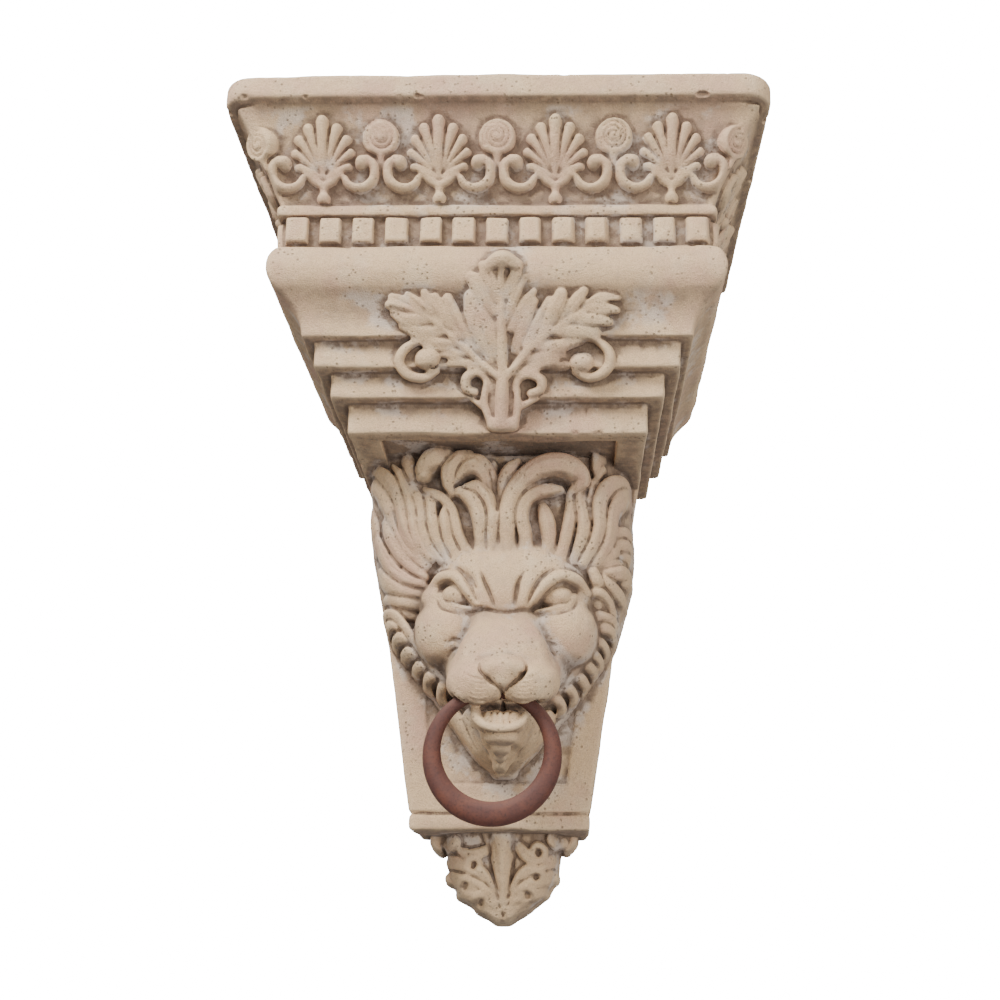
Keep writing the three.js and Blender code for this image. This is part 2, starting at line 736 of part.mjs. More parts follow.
const castStone = new THREE.MeshStandardMaterial({ color: 0xcdbb9f, roughness: 0.92, metalness: 0 });
const rustedIron = new THREE.MeshStandardMaterial({ color: 0x6a4136, roughness: 0.8, metalness: 0.4 });

const bracket = new THREE.Group();
bracket.position.z = originDrop;

const body = new THREE.Mesh(geometryOf(bracketBody()), castStone);
body.name = 'bracket_body';
bracket.add(body);

const ring = new THREE.Mesh(ringGeometry(), rustedIron);
ring.name = 'iron_ring';
ring.position.copy(ringPivot);
bracket.add(ring);

export default bracket;
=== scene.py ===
# Cast stone wall bracket with a lion mask and an iron ring.
# The stone is worked out as one solid field in millimetres: x to the right, depth out
# from the wall, z up from the top of the slab. The field then becomes one mesh.

import math
import time

import bmesh
import bpy
import numpy as np
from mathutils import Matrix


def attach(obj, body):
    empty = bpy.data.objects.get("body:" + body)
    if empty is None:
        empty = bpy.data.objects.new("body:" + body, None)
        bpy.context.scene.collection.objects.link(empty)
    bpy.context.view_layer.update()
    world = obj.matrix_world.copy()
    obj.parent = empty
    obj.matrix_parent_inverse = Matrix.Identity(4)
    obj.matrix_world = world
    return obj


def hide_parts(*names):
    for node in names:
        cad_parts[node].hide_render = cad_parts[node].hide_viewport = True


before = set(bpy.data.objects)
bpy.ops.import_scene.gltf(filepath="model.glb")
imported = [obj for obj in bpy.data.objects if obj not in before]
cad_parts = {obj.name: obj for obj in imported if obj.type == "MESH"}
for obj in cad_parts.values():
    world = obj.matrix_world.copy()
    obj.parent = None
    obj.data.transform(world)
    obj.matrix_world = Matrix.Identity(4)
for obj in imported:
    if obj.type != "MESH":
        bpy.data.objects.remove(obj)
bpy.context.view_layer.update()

import openvdb
from mathutils import Matrix, Vector

startTime = time.time()
topHeight = 345.0       # mm from the origin up to the top of the slab


def report(stage):
    print(f"[bracket] {stage}, {time.time() - startTime:.0f} s")


# Height maps. A canvas is a sheet of heights over two axes, in mm, and every carved
# form is laid on it or cut into it.

def newCanvas(uRange, vRange, step, ground=0.0):
    u = np.arange(uRange[0], uRange[1] + step, step)
    v = np.arange(vRange[0], vRange[1] + step, step)
    return {"u": u, "v": v, "step": step, "h": np.full((len(u), len(v)), float(ground))}


def softMax(a, b, soft):
    blend = np.maximum(soft - np.abs(a - b), 0) / soft
    return np.maximum(a, b) + blend * blend * soft / 4


def ramp(value, low, high):
    t = np.clip((value - low) / (high - low), 0, 1)
    return t * t * (3 - 2 * t)


def smoothPath(points, steps=6):
    # a smooth line through points whose columns can also carry sizes and lifts
    p = np.asarray(points, float)
    p = np.vstack([2 * p[0] - p[1], p, 2 * p[-1] - p[-2]])
    t = np.linspace(0, 1, steps, endpoint=False)[:, None]
    parts = []
    for a, b, c, d in zip(p, p[1:], p[2:], p[3:]):
        parts.append(0.5 * (2 * b + (c - a) * t + (2 * a - 5 * b + 4 * c - d) * t ** 2
                            + (3 * b - a - 3 * c + d) * t ** 3))
    return np.vstack(parts + [p[-2:-1]])


def withSizes(points, *sizes):
    # adds columns to a path: each size list is spread evenly from its start to its end
    points = np.asarray(points, float)
    run = np.linspace(0, 1, len(points))
    columns = [np.interp(run, np.linspace(0, 1, len(s)), s) for s in sizes]
    return np.column_stack([points, *columns])


def alongPath(canvas, path, margin=0.0):
    # for the canvas round a path: the window, how far off the path in radii, and the
    # path's own radius and lift at the closest place
    path = smoothPath(path)
    reach = path[:, 2].max() + margin
    u, v = canvas["u"], canvas["v"]
    i0, i1 = np.searchsorted(u, [path[:, 0].min() - reach, path[:, 0].max() + reach])
    j0, j1 = np.searchsorted(v, [path[:, 1].min() - reach, path[:, 1].max() + reach])
    uu, vv = u[i0:i1, None], v[None, j0:j1]
    best = np.full((i1 - i0, j1 - j0), 1e9)
    radius, lift = np.ones_like(best), np.zeros_like(best)
    for a, b in zip(path, path[1:]):
        run = b[:2] - a[:2]
        t = np.clip(((uu - a[0]) * run[0] + (vv - a[1]) * run[1]) / max(run @ run, 1e-9), 0, 1)
        off = np.hypot(uu - a[0] - t * run[0], vv - a[1] - t * run[1])
        size = a[2] + t * (b[2] - a[2])
        closer = off / size < best
        best = np.where(closer, off / size, best)
        radius = np.where(closer, size, radius)
        lift = np.where(closer, a[3] + t * (b[3] - a[3]), lift)
    return (slice(i0, i1), slice(j0, j1)), best, radius, lift


def raiseBar(canvas, points, radii, lifts=(0,), crown=1.0, base=None, power=0.5):
    # a rounded bar: a strand of hair, a rib or a scroll. base is a sheet it rides on.
    where, q, radius, lift = alongPath(canvas, withSizes(points, radii, lifts))
    ground = 0.0 if base is None else base[where]
    top = ground + lift + crown * radius * np.maximum(1 - q * q, 0) ** power
    h = canvas["h"]
    h[where] = np.where(q < 1, np.maximum(h[where], top), h[where])


def swell(canvas, points, radii, lifts, crown=1.0, soft=6.0):
    # a bar that melts into what is there
    where, q, radius, lift = alongPath(canvas, withSizes(points, radii, lifts), margin=soft)
    top = lift + crown * radius * np.where(q < 1, np.sqrt(np.maximum(1 - q * q, 0)), 8 - 8 * q)
    canvas["h"][where] = softMax(canvas["h"][where], top, soft)


def cutGroove(canvas, points, radii, depths, shoulders=1.5):
    # as deep as depths at its middle; small shoulders make it a trough with steep sides
    where, q, _, depth = alongPath(canvas, withSizes(points, radii, depths), margin=0)
    canvas["h"][where] -= depth * np.maximum(1 - q * q, 0) ** shoulders


def spread(canvas, sigma):
    # softens the canvas, as wear does; sigma in mm
    cells = max(sigma / canvas["step"], 0.3)
    reach = int(3 * cells + 1)
    taps = np.exp(-0.5 * (np.arange(-reach, reach + 1) / cells) ** 2)
    taps /= taps.sum()
    h = canvas["h"]
    for axis in (0, 1):
        padded = np.pad(h, [(reach, reach) if a == axis else (0, 0) for a in (0, 1)], "edge")
        size = h.shape[axis]
        h = sum(tap * np.take(padded, range(k, k + size), axis) for k, tap in enumerate(taps))
    canvas["h"] = h


def heightAt(canvas, u, v, sheet="h"):
    # bilinear reading of a canvas at any points
    step, h = canvas["step"], canvas[sheet]
    i = np.clip((u - canvas["u"][0]) / step, 0, h.shape[0] - 1.001)
    j = np.clip((v - canvas["v"][0]) / step, 0, h.shape[1] - 1.001)
    i0, j0 = i.astype(np.int32), j.astype(np.int32)
    a, b = i - i0, j - j0
    return ((h[i0, j0] * (1 - a) + h[i0 + 1, j0] * a) * (1 - b)
            + (h[i0, j0 + 1] * (1 - a) + h[i0 + 1, j0 + 1] * a) * b)


def addSteepness(canvas):
    # how much longer the slope is than its run, to turn heights into distances
    du, dv = np.gradient(canvas["h"], canvas["step"])
    canvas["steep"] = np.minimum(np.sqrt(1 + du ** 2 + dv ** 2), 6.0)


# The frieze ornament, one unit round a palmette. u runs along the face and v up the
# slope from the place where the palmette's two arms meet.

friezeCarving = {
    "pitch": 100.0,         # mm from one palmette to the next
    "sideStart": 58.0,      # mm from the wall to the first palmette of a side
    # the ribs from the middle one out: lean in degrees, length and half width
    "ribs": [(0, 52, 6.0), (15, 47.5, 5.2), (29, 42, 4.8), (43, 35, 4.3), (57, 26, 3.6)],
    "rosetteRadius": 15.5,
    "rosetteUp": 38.0,
    "armsMeet": -85.0,      # the height where a palmette's two arms meet
    "top": -26.0, "foot": -100.0, "rise": 73.0,
    "topHalf": 222.0, "footHalf": 187.5,
}


def palmette(canvas, middle):
    ribs = friezeCarving["ribs"]
    for side in (-1, 1):
        for lean, length, width in ribs:
            lean = math.radians(lean)
            near = (middle + side * 0.5 * length * math.sin(lean * 0.85),
                    0.5 * length * math.cos(lean * 0.85))
            tip = (middle + side * length * math.sin(lean), length * math.cos(lean))
            raiseBar(canvas, [(middle, 3.0), near, tip], [2.6, width * 0.8, width, width * 0.9],
                     [1.0, 2.6, 3.4], crown=0.8)
        for (lean, length, _), (nextLean, *_) in zip(ribs, ribs[1:]):
            lean = math.radians((lean + nextLean) / 2)
            far = (middle + side * 0.86 * length * math.sin(lean), 0.86 * length * math.cos(lean))
            cutGroove(canvas, [(middle + side * 2.4, 8), far], [1.0, 1.9], [1.2, 3.0])
        turns = np.radians(np.arange(200, 410, 15))
        hook = np.column_stack([31 + 13.5 * np.cos(turns), 9 + 13.5 * np.sin(turns)])
        for path, radii, lifts in (([(0, -3), (8, 2), (15, 8)], [3.4, 2.8], [2.5]),
                                   (hook, [3.2, 4.4, 4.4], [2.6, 3.4, 3.4]),
                                   ([(37.5, 18.5), (34.0, 17.0)], [5.6, 6.8], [2.6])):
            raiseBar(canvas, np.array(path) * (side, 1) + (middle, 0), radii, lifts, crown=0.95)
    raiseBar(canvas, [(middle, -3), (middle, -9)], [3.4], [2.0], crown=0.9)
    raiseBar(canvas, [(middle, -13.5), (middle, -14)], [6.0], [1.8], crown=1.0)


def rosette(canvas, middle, up):
    r = friezeCarving["rosetteRadius"]
    raiseBar(canvas, [(middle, up - r + 2), (middle, up - r - 8)], [4.5, 2.5], [1.8], crown=0.9)
    raiseBar(canvas, [(middle, up), (middle + 0.5, up)], [r], [3.2], crown=0.26, power=0.22)
    spiral = []
    for turn in np.linspace(0.4, 5.2 * math.pi, 40):
        reach = 2.6 + (r - 5.2) * turn / (5.2 * math.pi)
        spiral.append((middle + reach * math.cos(turn), up + reach * math.sin(turn)))
    cutGroove(canvas, spiral, [1.5, 1.9], [2.6, 3.2])


def friezeCanvas(palmettes, rosettes, uRange):
    canvas = newCanvas(uRange, (-24, 66), 0.65)
    for middle in palmettes:
        palmette(canvas, middle)
    for middle in rosettes:
        rosette(canvas, middle, friezeCarving["rosetteUp"])
    spread(canvas, 0.55)
    return canvas


# The lion's head. x is from its middle line, z from the top of the slab and h in front of
# the block's face. The hair and the upper face are a height map, and the muzzle, the nose
# and the jaw are solid forms added to it.

mane = {
    # height, left and right
    "edges": [(-285, -130, 114), (-335, -130, 116), (-361, -127, 117), (-390, -121, 114),
              (-420, -115, 106), (-444, -108, 99), (-470, -88, 84), (-500, -64, 63),
              (-520, -50, 46), (-545, -30, 24), (-566, -10, 6)],
    "body": [(-285, 80), (-350, 78), (-400, 62), (-430, 45), (-500, 33), (-545, 20), (-566, 8)],
    "crown": 1.2,
    "gap": 1.5, "gapDepth": 2.6,       # mm, the trough cut round each lock
}

# each lock: the places it runs through, its radii and its lifts over the mane's body
hairLocks = [
    # the left side, from the outside in
    ([(-120, -366), (-122, -348), (-126, -334), (-131, -318)], [4, 6, 5, 3], [2, 2, 0]),
    ([(-98, -386), (-99, -366), (-101, -348), (-106, -333), (-115, -315), (-125, -303), (-134, -297)],
     [3.5, 5.5, 6, 6.5, 6, 4.5, 1.5], [4, 6, 8, 9]),
    ([(-70, -385), (-80, -374), (-88, -361), (-92, -347), (-95, -333), (-101, -319), (-110, -305),
      (-121, -293), (-132, -288)], [5, 6.5, 6, 5.5, 5.5, 6, 6, 4, 1.5], [5, 9, 10, 12]),
    ([(-66, -382), (-75, -371), (-80, -358), (-83, -345), (-86, -331), (-91, -317), (-97, -304),
      (-104, -293)], [4, 5.5, 5.5, 5, 5, 5, 4, 2], [7, 9, 9, 6]),
    ([(-58, -382), (-69, -369), (-73, -358), (-75, -346), (-77, -335), (-81, -322), (-87, -310),
      (-92, -298)], [4, 5, 5, 4.5, 4.5, 5, 4, 2], [5, 7, 7, 4]),
    ([(-51, -382), (-60, -367), (-64, -355), (-66, -343), (-67, -333), (-71, -323), (-78, -313)],
     [4, 5.5, 5.5, 5, 5, 4, 2], [4, 7, 7, 3]),
    ([(-42, -383), (-50, -368), (-53, -356), (-54, -346), (-53, -338)], [4, 5, 5, 5, 4], [5, 8, 7]),
    ([(-32, -381), (-42, -362), (-45, -350), (-48, -340), (-55, -331), (-64, -325), (-74, -320)],
     [4, 5, 4.5, 4.5, 5, 5, 3], [4, 6, 6, 4]),
    ([(-80, -318), (-86, -304), (-90, -291)], [4, 6, 6], [1, 3, 3]),
    # the lock that flips over left of the middle, and the curls above it
    ([(-21, -383), (-22, -362), (-23, -350), (-26, -338), (-32, -329), (-40, -325), (-47, -327)],
     [5, 6, 6.5, 7, 7, 5, 2], [6, 10, 12, 12]),
    ([(-12, -384), (-12, -363), (-10, -350), (-12, -337), (-18, -327), (-26, -321), (-36, -321)],
     [4.5, 5.5, 6, 6.5, 7, 6, 3], [6, 11, 13, 14]),
    ([(-14, -322), (-17, -311), (-24, -303), (-32, -302), (-39, -307), (-46, -317)],
     [5, 8, 10, 10, 7, 3], [10, 15, 18, 15]),
    ([(-33, -294), (-43, -297), (-50, -306), (-51, -317), (-48, -328)], [6, 7.5, 7.5, 5.5, 2],
     [15, 18, 16, 10]),
    ([(-54, -293), (-63, -295), (-71, -301), (-74, -309)], [8, 10, 9, 6], [13, 16, 13]),
    ([(-8, -342), (-11, -326), (-14, -314), (-19, -302), (-25, -294)], [2, 3.6, 4, 4, 3], [8, 9, 9]),
    ([(-5, -342), (-7, -325), (-10, -312), (-12, -297)], [2, 3.4, 3.6, 3.5], [6, 7, 7]),
    ([(-3, -343), (-3, -326), (-1, -313), (4, -304), (11, -296)], [2.5, 5, 6.5, 6.5, 3],
     [7, 9, 11, 12]),
    # the great curl right of the middle
    ([(2, -386), (1, -364), (1, -350), (3, -337), (8, -325), (16, -315), (27, -307), (40, -303),
      (53, -303), (64, -308), (66, -316), (58, -323)],
     [5.5, 7, 7, 7.5, 8, 9, 10, 10.5, 10.5, 9.5, 7, 3], [5, 10, 13, 16, 18, 16, 10]),
    ([(19, -383), (17, -362), (14, -349), (15, -338), (20, -330), (29, -325), (40, -322), (49, -321)],
     [4.5, 6, 6, 6, 6, 6, 5, 3], [4, 8, 10, 11, 8]),
    ([(39, -382), (38, -360), (36, -348), (33, -338), (30, -331)], [4.5, 6.5, 6.5, 5, 2.5], [1, 3, 1]),
    ([(48, -383), (54, -361), (57, -346), (58, -332), (57, -320)], [4.5, 5.5, 5.5, 5, 4], [5, 7, 4, 0]),
    ([(61, -382), (68, -362), (69, -348), (67, -335), (66, -322), (65, -311)],
     [4.5, 6, 6, 5.5, 5, 4], [5, 8, 5, 1]),
    # the right side
    ([(75, -348), (75, -333), (77, -320), (81, -308), (88, -297)], [1.5, 3, 3.5, 3.5, 2.5], [6, 8, 8]),
    ([(80, -308), (81, -298), (83, -288)], [2, 5, 7], [4, 4]),
    ([(69, -385), (79, -369), (83, -356), (83, -343), (84, -330), (90, -317), (100, -308),
      (111, -301), (121, -297)], [5, 6, 6, 6, 6.5, 7, 6.5, 4.5, 1.5], [5, 9, 10, 12, 12]),
    ([(76, -391), (86, -377), (92, -364), (94, -351), (96, -338), (102, -325), (111, -312),
      (121, -303)], [4.5, 5.5, 5.5, 5, 5.5, 6.5, 5.5, 1.5], [4, 8, 9, 9]),
    ([(84, -391), (93, -380), (99, -369), (99, -360)], [3, 4, 3.5, 1.5], [6, 7, 6]),
    # the flames at the left temple
    ([(-72, -389), (-83, -380), (-93, -367), (-99, -354), (-102, -342)], [4, 5, 5, 4.5, 2.5], [5, 6, 4]),
    ([(-72, -397), (-86, -387), (-97, -374), (-105, -360), (-110, -344)], [4, 5, 5, 5, 3], [5, 6, 5]),
    ([(-73, -404), (-88, -399), (-103, -387), (-113, -370), (-119, -354)],
     [4, 5.5, 5.5, 5, 3], [4, 6, 5]),
    ([(-75, -411), (-92, -408), (-107, -398), (-118, -383)], [4.5, 5.5, 5.5, 3.5], [3, 5, 4]),
    ([(-77, -419), (-93, -417), (-110, -409)], [4.5, 5.5, 3.5], [2, 4, 3]),
    ([(-81, -428), (-95, -425), (-108, -419)], [3.5, 4.5, 3], [1, 3, 2]),
    # lobes and folded locks down the right edge
    ([(100, -356), (107, -351), (115, -349)], [4, 5.5, 5], [2, 5, 4]),
    ([(99, -366), (107, -363), (115, -361)], [4, 5.5, 5], [2, 5, 4]),
    ([(103, -375), (110, -373), (115, -371)], [4, 5, 4.5], [2, 5, 4]),
    ([(88, -390), (97, -383), (108, -380)], [3.5, 4.5, 3.5], [5, 6, 3]),
    ([(86, -394), (98, -391), (108, -388), (112, -390), (104, -397)],
     [4, 5.5, 6, 5, 2], [6, 9, 9, 5]),
    ([(86, -396), (93, -402), (101, -407), (109, -409)], [4, 5.5, 6, 3], [6, 8, 7]),
    ([(78, -393), (82, -402), (84, -411)], [5, 5.5, 4], [6, 6, 3]),
    ([(75, -412), (82, -410), (89, -413), (95, -422)], [4.5, 5.5, 5.5, 4.5], [5, 7, 7, 5]),
    ([(75, -420), (82, -419), (88, -421)], [4, 5, 3], [3, 5, 3]),
    ([(74, -428), (85, -430), (95, -431), (101, -430)], [5, 6.5, 6, 3], [4, 8, 7, 3]),
]
# the ruff under the cheeks: a rolled rim with hooked curls hanging out of it
ruff = {
    "rims": [
        [(-113, -421), (-102, -425), (-91, -436), (-82, -449), (-73, -462), (-65, -473), (-57, -481),
         (-48, -490)],
        [(78, -440), (76, -452), (70, -464), (62, -475), (54, -485), (46, -493)],
    ],
    "curls": [      # root, shoulder and tip
        [(-104, -427), (-112, -424), (-114, -431), (-109, -436)],
        [(-91, -440), (-101, -434), (-109, -434), (-110, -442)],
        [(-80, -455), (-92, -447), (-101, -447), (-103, -457)],
        [(-72, -467), (-85, -460), (-94, -460), (-95, -470)],
        [(-63, -478), (-76, -472), (-84, -475), (-83, -484)],
        [(-54, -486), (-65, -480), (-72, -486), (-67, -493)],
        [(-46, -491), (-54, -488), (-58, -496), (-52, -503)],
        [(79, -442), (88, -438), (96, -440), (98, -448)],
        [(76, -452), (84, -450), (90, -455), (89, -463)],
        [(70, -463), (78, -461), (84, -466), (82, -475)],
        [(63, -474), (71, -471), (79, -475), (77, -484)],
        [(55, -484), (64, -481), (72, -486), (69, -494)],
        [(46, -494), (53, -490), (60, -495), (57, -503)],
        [(37, -504), (43, -500), (49, -505), (45, -512)],
    ],
    "holeSize": 3.4,
    "holeDepth": 11,
}
beardLocks = [
    ([(-46, -512), (-35, -530), (-26, -545), (-12, -558)], [5.5, 6, 5, 2.5], [8, 9, 7, 3]),
    ([(38, -514), (29, -529), (20, -543), (6, -558)], [5.5, 6, 5, 2.5], [8, 9, 7, 3]),
    ([(-30, -516), (-24, -530), (-16, -545), (-6, -562)], [7, 7, 5.5, 2], [12, 12, 8, 2]),
    ([(26, -518), (21, -532), (12, -546), (-1, -562)], [7, 7, 5.5, 2], [12, 12, 8, 2]),
]


def crease(points, radii, share):
    # a line along a lock, a little to one side of its ridge
    points = smoothPath(points, 3)
    radii = withSizes(points, radii)[:, 2]
    run = np.gradient(points, axis=0)
    across = np.column_stack([run[:, 1], -run[:, 0]]) / np.linalg.norm(run, axis=1)[:, None]
    return points + across * (share * radii)[:, None]


def headCanvas(ground=0.0):
    return newCanvas((-138, 124), (-580, -280), 0.75, ground)


def maneCanvas():
    canvas = headCanvas()
    x, z = canvas["u"][:, None], canvas["v"][None, :]
    heights, left, right = np.array(mane["edges"][::-1]).T
    left, right = np.interp(z, heights, left), np.interp(z, heights, right)
    reach = np.clip(np.abs(2 * x - left - right) / (right - left), 0, 1)
    ground = np.interp(z, *zip(*mane["body"][::-1])) * (1 - reach ** 5) ** 0.5
    canvas["h"] = ground - 1
    for points, radii, lifts in hairLocks + beardLocks:
        wide = np.array(radii) + mane["gap"]
        cutGroove(canvas, points, wide, [mane["gapDepth"]], shoulders=0.4)
        canvas["h"] = np.maximum(canvas["h"], ground - 7)
        raiseBar(canvas, points, np.array(radii) * 1.1, lifts, crown=mane["crown"], base=ground)
        if len(points) > 4:
            cutGroove(canvas, crease(points, radii, 0.3), [0.5, 1.4, 1.4, 0.5], [0.5, 1.8, 1.8, 0.3])
        if max(radii) > 7:
            cutGroove(canvas, crease(points, radii, -0.35), [0.5, 1.4, 1.4, 0.5], [0.4, 1.7, 1.7, 0.3])
    for curl in ruff["curls"]:
        cutGroove(canvas, curl, [6, 7.6, 7, 4], [5], shoulders=0.4)
        raiseBar(canvas, curl, [3.2, 5.6, 4.8, 2.0], [6, 10, 9, 1], crown=1.3, base=ground)
        root, shoulder, _, tip = (np.array(p) for p in curl)
        hole = root * 0.35 + shoulder * 0.15 + tip * 0.5
        cutGroove(canvas, [hole, hole * 0.6 + tip * 0.4],
                  [ruff["holeSize"], 2.4], [ruff["holeDepth"], 8])
        for share in (-0.3, 0.35):
            cutGroove(canvas, crease(curl, [5.2], share), [0.6, 1.3, 0.6], [0.4, 1.8, 0.6])
    for rim in ruff["rims"]:
        cutGroove(canvas, rim, [6.5, 6, 5.5], [3], shoulders=0.4)
        raiseBar(canvas, rim, [4.2, 4, 3.5], [8, 12, 12, 11], crown=1.1, base=ground)
    outside = (x < left - 2) | (x > right + 2) | (z < heights[0])
    canvas["h"] = np.where(outside, -25, canvas["h"])
    spread(canvas, 0.5)
    return canvas


face = {
    # the edge of the brow, over the eyes and down to the root of the nose
    "browEdge": [(-84, -424), (-74, -414), (-66, -409), (-58, -406.5), (-50, -405), (-43, -407),
                 (-38, -412), (-31, -419), (-23, -427), (-12, -431), (0, -433), (12, -431),
                 (21, -429), (27, -422), (34, -415), (40, -410), (47, -407), (54, -407),
                 (63, -410), (73, -417), (84, -427)],
    "furrows": [
        [(-46, -390), (-38, -397), (-31, -409), (-24, -425)],
        [(-36, -394), (-29, -404), (-24, -414)],
        [(-22, -396), (-18, -407), (-13, -418), (-8, -431)],
        [(18, -397), (12, -409), (10, -420), (8, -432)],
        [(44, -393), (32, -404), (25, -415), (20, -428)],
    ],
    "ridges": [     # over the inner ends of the eyes
        [(-24, -427), (-33, -414), (-43, -402), (-56, -400), (-66, -406)],
        [(25, -423), (35, -410), (48, -401), (62, -403), (72, -411)],
    ],
    "browLines": [[(-70, -402), (-63, -395.5), (-54, -394), (-46, -398)],
                  [(52, -392), (62, -394), (70, -400)]],
    "noseRoot": [(-25, -429), (-12, -432.5), (0, -435), (12, -433), (26, -429)],
    "cheekLines": [[(-49, -459), (-44, -456), (-35, -458)], [(-49, -469), (-43, -464), (-36, -465)],
                   [(31, -458), (38, -460), (45, -460)], [(29, -472), (34, -468), (43, -469)]],
    "eyes": [(-43, -416), (46, -417)],
    "eyeFront": 87,     # mm in front of the block
}


def superDome(x, z, middle, halves, base, rise, power=2.5):
    # a boss that falls away all round; a higher power makes it squarer
    away = np.abs((x - middle[0]) / halves[0]) ** power + np.abs((z - middle[1]) / halves[1]) ** power
    return np.where(away < 1, base + rise * np.sqrt(np.maximum(1 - away, 0)),
                    base - 3 * rise * (away - 1))


def carveEye(canvas, x0, z0):
    # the socket, the ball, the upper lid and the line over it, the iris, and the bag below
    x, z = canvas["u"][:, None], canvas["v"][None, :]
    front = face["eyeFront"]
    s = 1 if x0 > 0 else -1
    slant = z - z0 - 0.45 * s * (x - x0) - 1
    canvas["h"] -= 9 * np.exp(-((x - x0 + s * 6) / 17) ** 2 - (slant / 9) ** 2)
    ball = superDome(x, z, (x0 - s * 1.5, z0), (15, 11), front - 15, 15, 2)
    canvas["h"] = softMax(canvas["h"], ball, 0.8)
    lid = [(15, 2), (10, -7), (0, -11), (-10, -13), (-20, -14)]
    swell(canvas, [(x0 + s * u, z0 + v) for u, v in lid], [1.2, 1.8, 2.2, 2.0, 1.0],
          [front - 11, front - 8, front - 6, front - 5, front - 4], 1.0, 2.0)
    for line, radii, depths in (
            ([(18, -1), (13, -12), (1, -17), (-12, -19)], [1, 2.2, 2.2, 1], [0.6, 2.2, 2, 0.3]),
            ([(-1, -7), (10, -6), (12, 2)], [0.9, 1.4, 0.9], [0.8, 1.6, 0.8]),
            ([(-s, 5), (-7, 1), (-6, -6)], [0.9, 1.2, 0.9], [0.8, 1.3, 0.8]),
            ([(-15, -8), (-22, -13)], [3.5, 2.5], [4, 3]),
            ([(17, 3), (9, 10), (-3, 8.5), (-13, -1), (-20, -9)],
             [1.4, 2.2, 2.4, 2.2, 1.5], [2, 5, 6, 5, 3])):
        cutGroove(canvas, [(x0 + s * u, z0 + v) for u, v in line], radii, depths)


def faceCanvas():
    canvas = headCanvas()
    x, z = canvas["u"][:, None], canvas["v"][None, :]
    # the broad forms below the brow, and the bridge of the nose
    lower = superDome(x, z, (1, -430), (82, 57), 8, 70)
    for s in (-1, 1):       # the cheek, the bone beside the eye and the jowl
        for middle, halves, base, rise, soft in (((s * 48, -443), (34, 35), 48, 36, 18),
                                                 ((s * 56, -414), (22, 18), 50, 27, 10),
                                                 ((s * 33, -477), (23, 20), 44, 34, 12)):
            lower = softMax(lower, superDome(x, z, middle, halves, base, rise, 2), soft)
    canvas["h"] = np.maximum(lower, -60)
    swell(canvas, [(0, -436), (0, -452), (0, -476)], [24, 28, 34], [78, 86, 94], 0.55, 18)
    spread(canvas, 2.2)
    for x0, z0 in face["eyes"]:
        carveEye(canvas, x0, z0)
    # the brow and the forehead hang over the eyes in a rounded edge
    edge = np.interp(x, *smoothPath(face["browEdge"]).T)
    brow = superDome(x, z, (2, -408), (80, 56), 16, 80, 2.6)
    under = np.clip((edge + 2.5 - z) / 4.5, 0, 1)
    brow -= 4 * (1 - np.sqrt(1 - under ** 2)) + 50 * ramp(edge - z, 1.5, 5.0)
    brow -= 3 * np.exp(-(x / 26) ** 2 - ((z + 440) / 14) ** 2)
    forehead = headCanvas()
    forehead["h"] = brow
    for ridge in face["ridges"]:
        swell(forehead, ridge, [3, 4.5, 5, 5, 3], [88, 90, 87, 80, 68], 1, 6)
    for line in face["furrows"]:
        cutGroove(forehead, line, [1.2, 3.0, 3.2, 2.0], [1, 4.6, 5, 3.4])
    for line in face["browLines"]:
        cutGroove(forehead, line, [1, 2, 2, 1], [0.6, 2.4, 2.4, 0.6])
    canvas["h"] = softMax(canvas["h"], forehead["h"], 1.2)
    cutGroove(canvas, face["noseRoot"], [1.2, 2.4, 2.4, 1.2], [1, 4, 4, 1])
    for line in face["cheekLines"]:
        cutGroove(canvas, line, [1.6, 2.6, 1.6], [1.5, 3, 1.5])
    spread(canvas, 0.6)
    return canvas


muzzleCarving = {
    # x, z and h of each rounded form, its half width, height and depth, and its softness
    "forms": [
        (0, -486, 84, 46, 28, 38, 16), (0, -470, 90, 32, 24, 28, 14),
        (-23, -498, 99, 24.5, 18.5, 31, 6), (24, -498, 99, 24.5, 18.5, 31, 6),      # lips
        (-20, -505.5, 113, 20.5, 13.5, 14, 5), (21, -505.5, 113, 20.5, 13.5, 14, 5),
        (1, -490, 119, 20.5, 11, 18, 5), (1, -499, 119, 11.5, 10, 14, 5),           # nose
        (-12, -493, 119, 9, 8.5, 13, 4), (14, -493, 119, 9, 8.5, 13, 4),
        (-1, -518, 50, 29, 18, 32, 6), (-1, -534, 50, 20, 16, 34, 5),               # throat
        (-2, -548, 38, 11, 11, 30, 5),
        (-1, -530, 91, 22, 11, 20, 3), (-1, -542.5, 92, 15, 7, 14, 3),              # chin and beard
        (-2, -549, 80, 9, 7, 14, 3), (-3, -554.5, 66, 6, 5, 11, 2.5),
        (-4, -559.5, 38, 7, 6, 20, 4),
    ],
    "lip": [(-22.5, -519, 101), (-21, -528.5, 106), (-14, -535, 110), (-2, -538, 111),
            (10, -536.5, 110), (18.5, -530.5, 106), (21, -523, 101)],
    "mouth": ((-1, -521, 112), (15, 4.2, 13)),
    "chip": ((15.5, -497, 131), (2.6, 2.2, 7)),     # in the worn nostril
}


def muzzle(head):
    for x, z, h, *halves, soft in muzzleCarving["forms"]:
        addBall(head, (x, z, h), halves, soft)
    addBar(head, muzzleCarving["lip"], 4.2, 3.0)
    addBall(head, *muzzleCarving["mouth"], 1, cut=True)
    for k in range(-2, 3):      # the lower teeth
        tooth = [(5.3 * k - 1, -525, 108 - 0.7 * k * k), (5.1 * k - 1, -532, 110 - 0.7 * k * k)]
        addBar(head, tooth, 2.8, 0.6)
    addBall(head, *muzzleCarving["chip"], 1.5, cut=True)


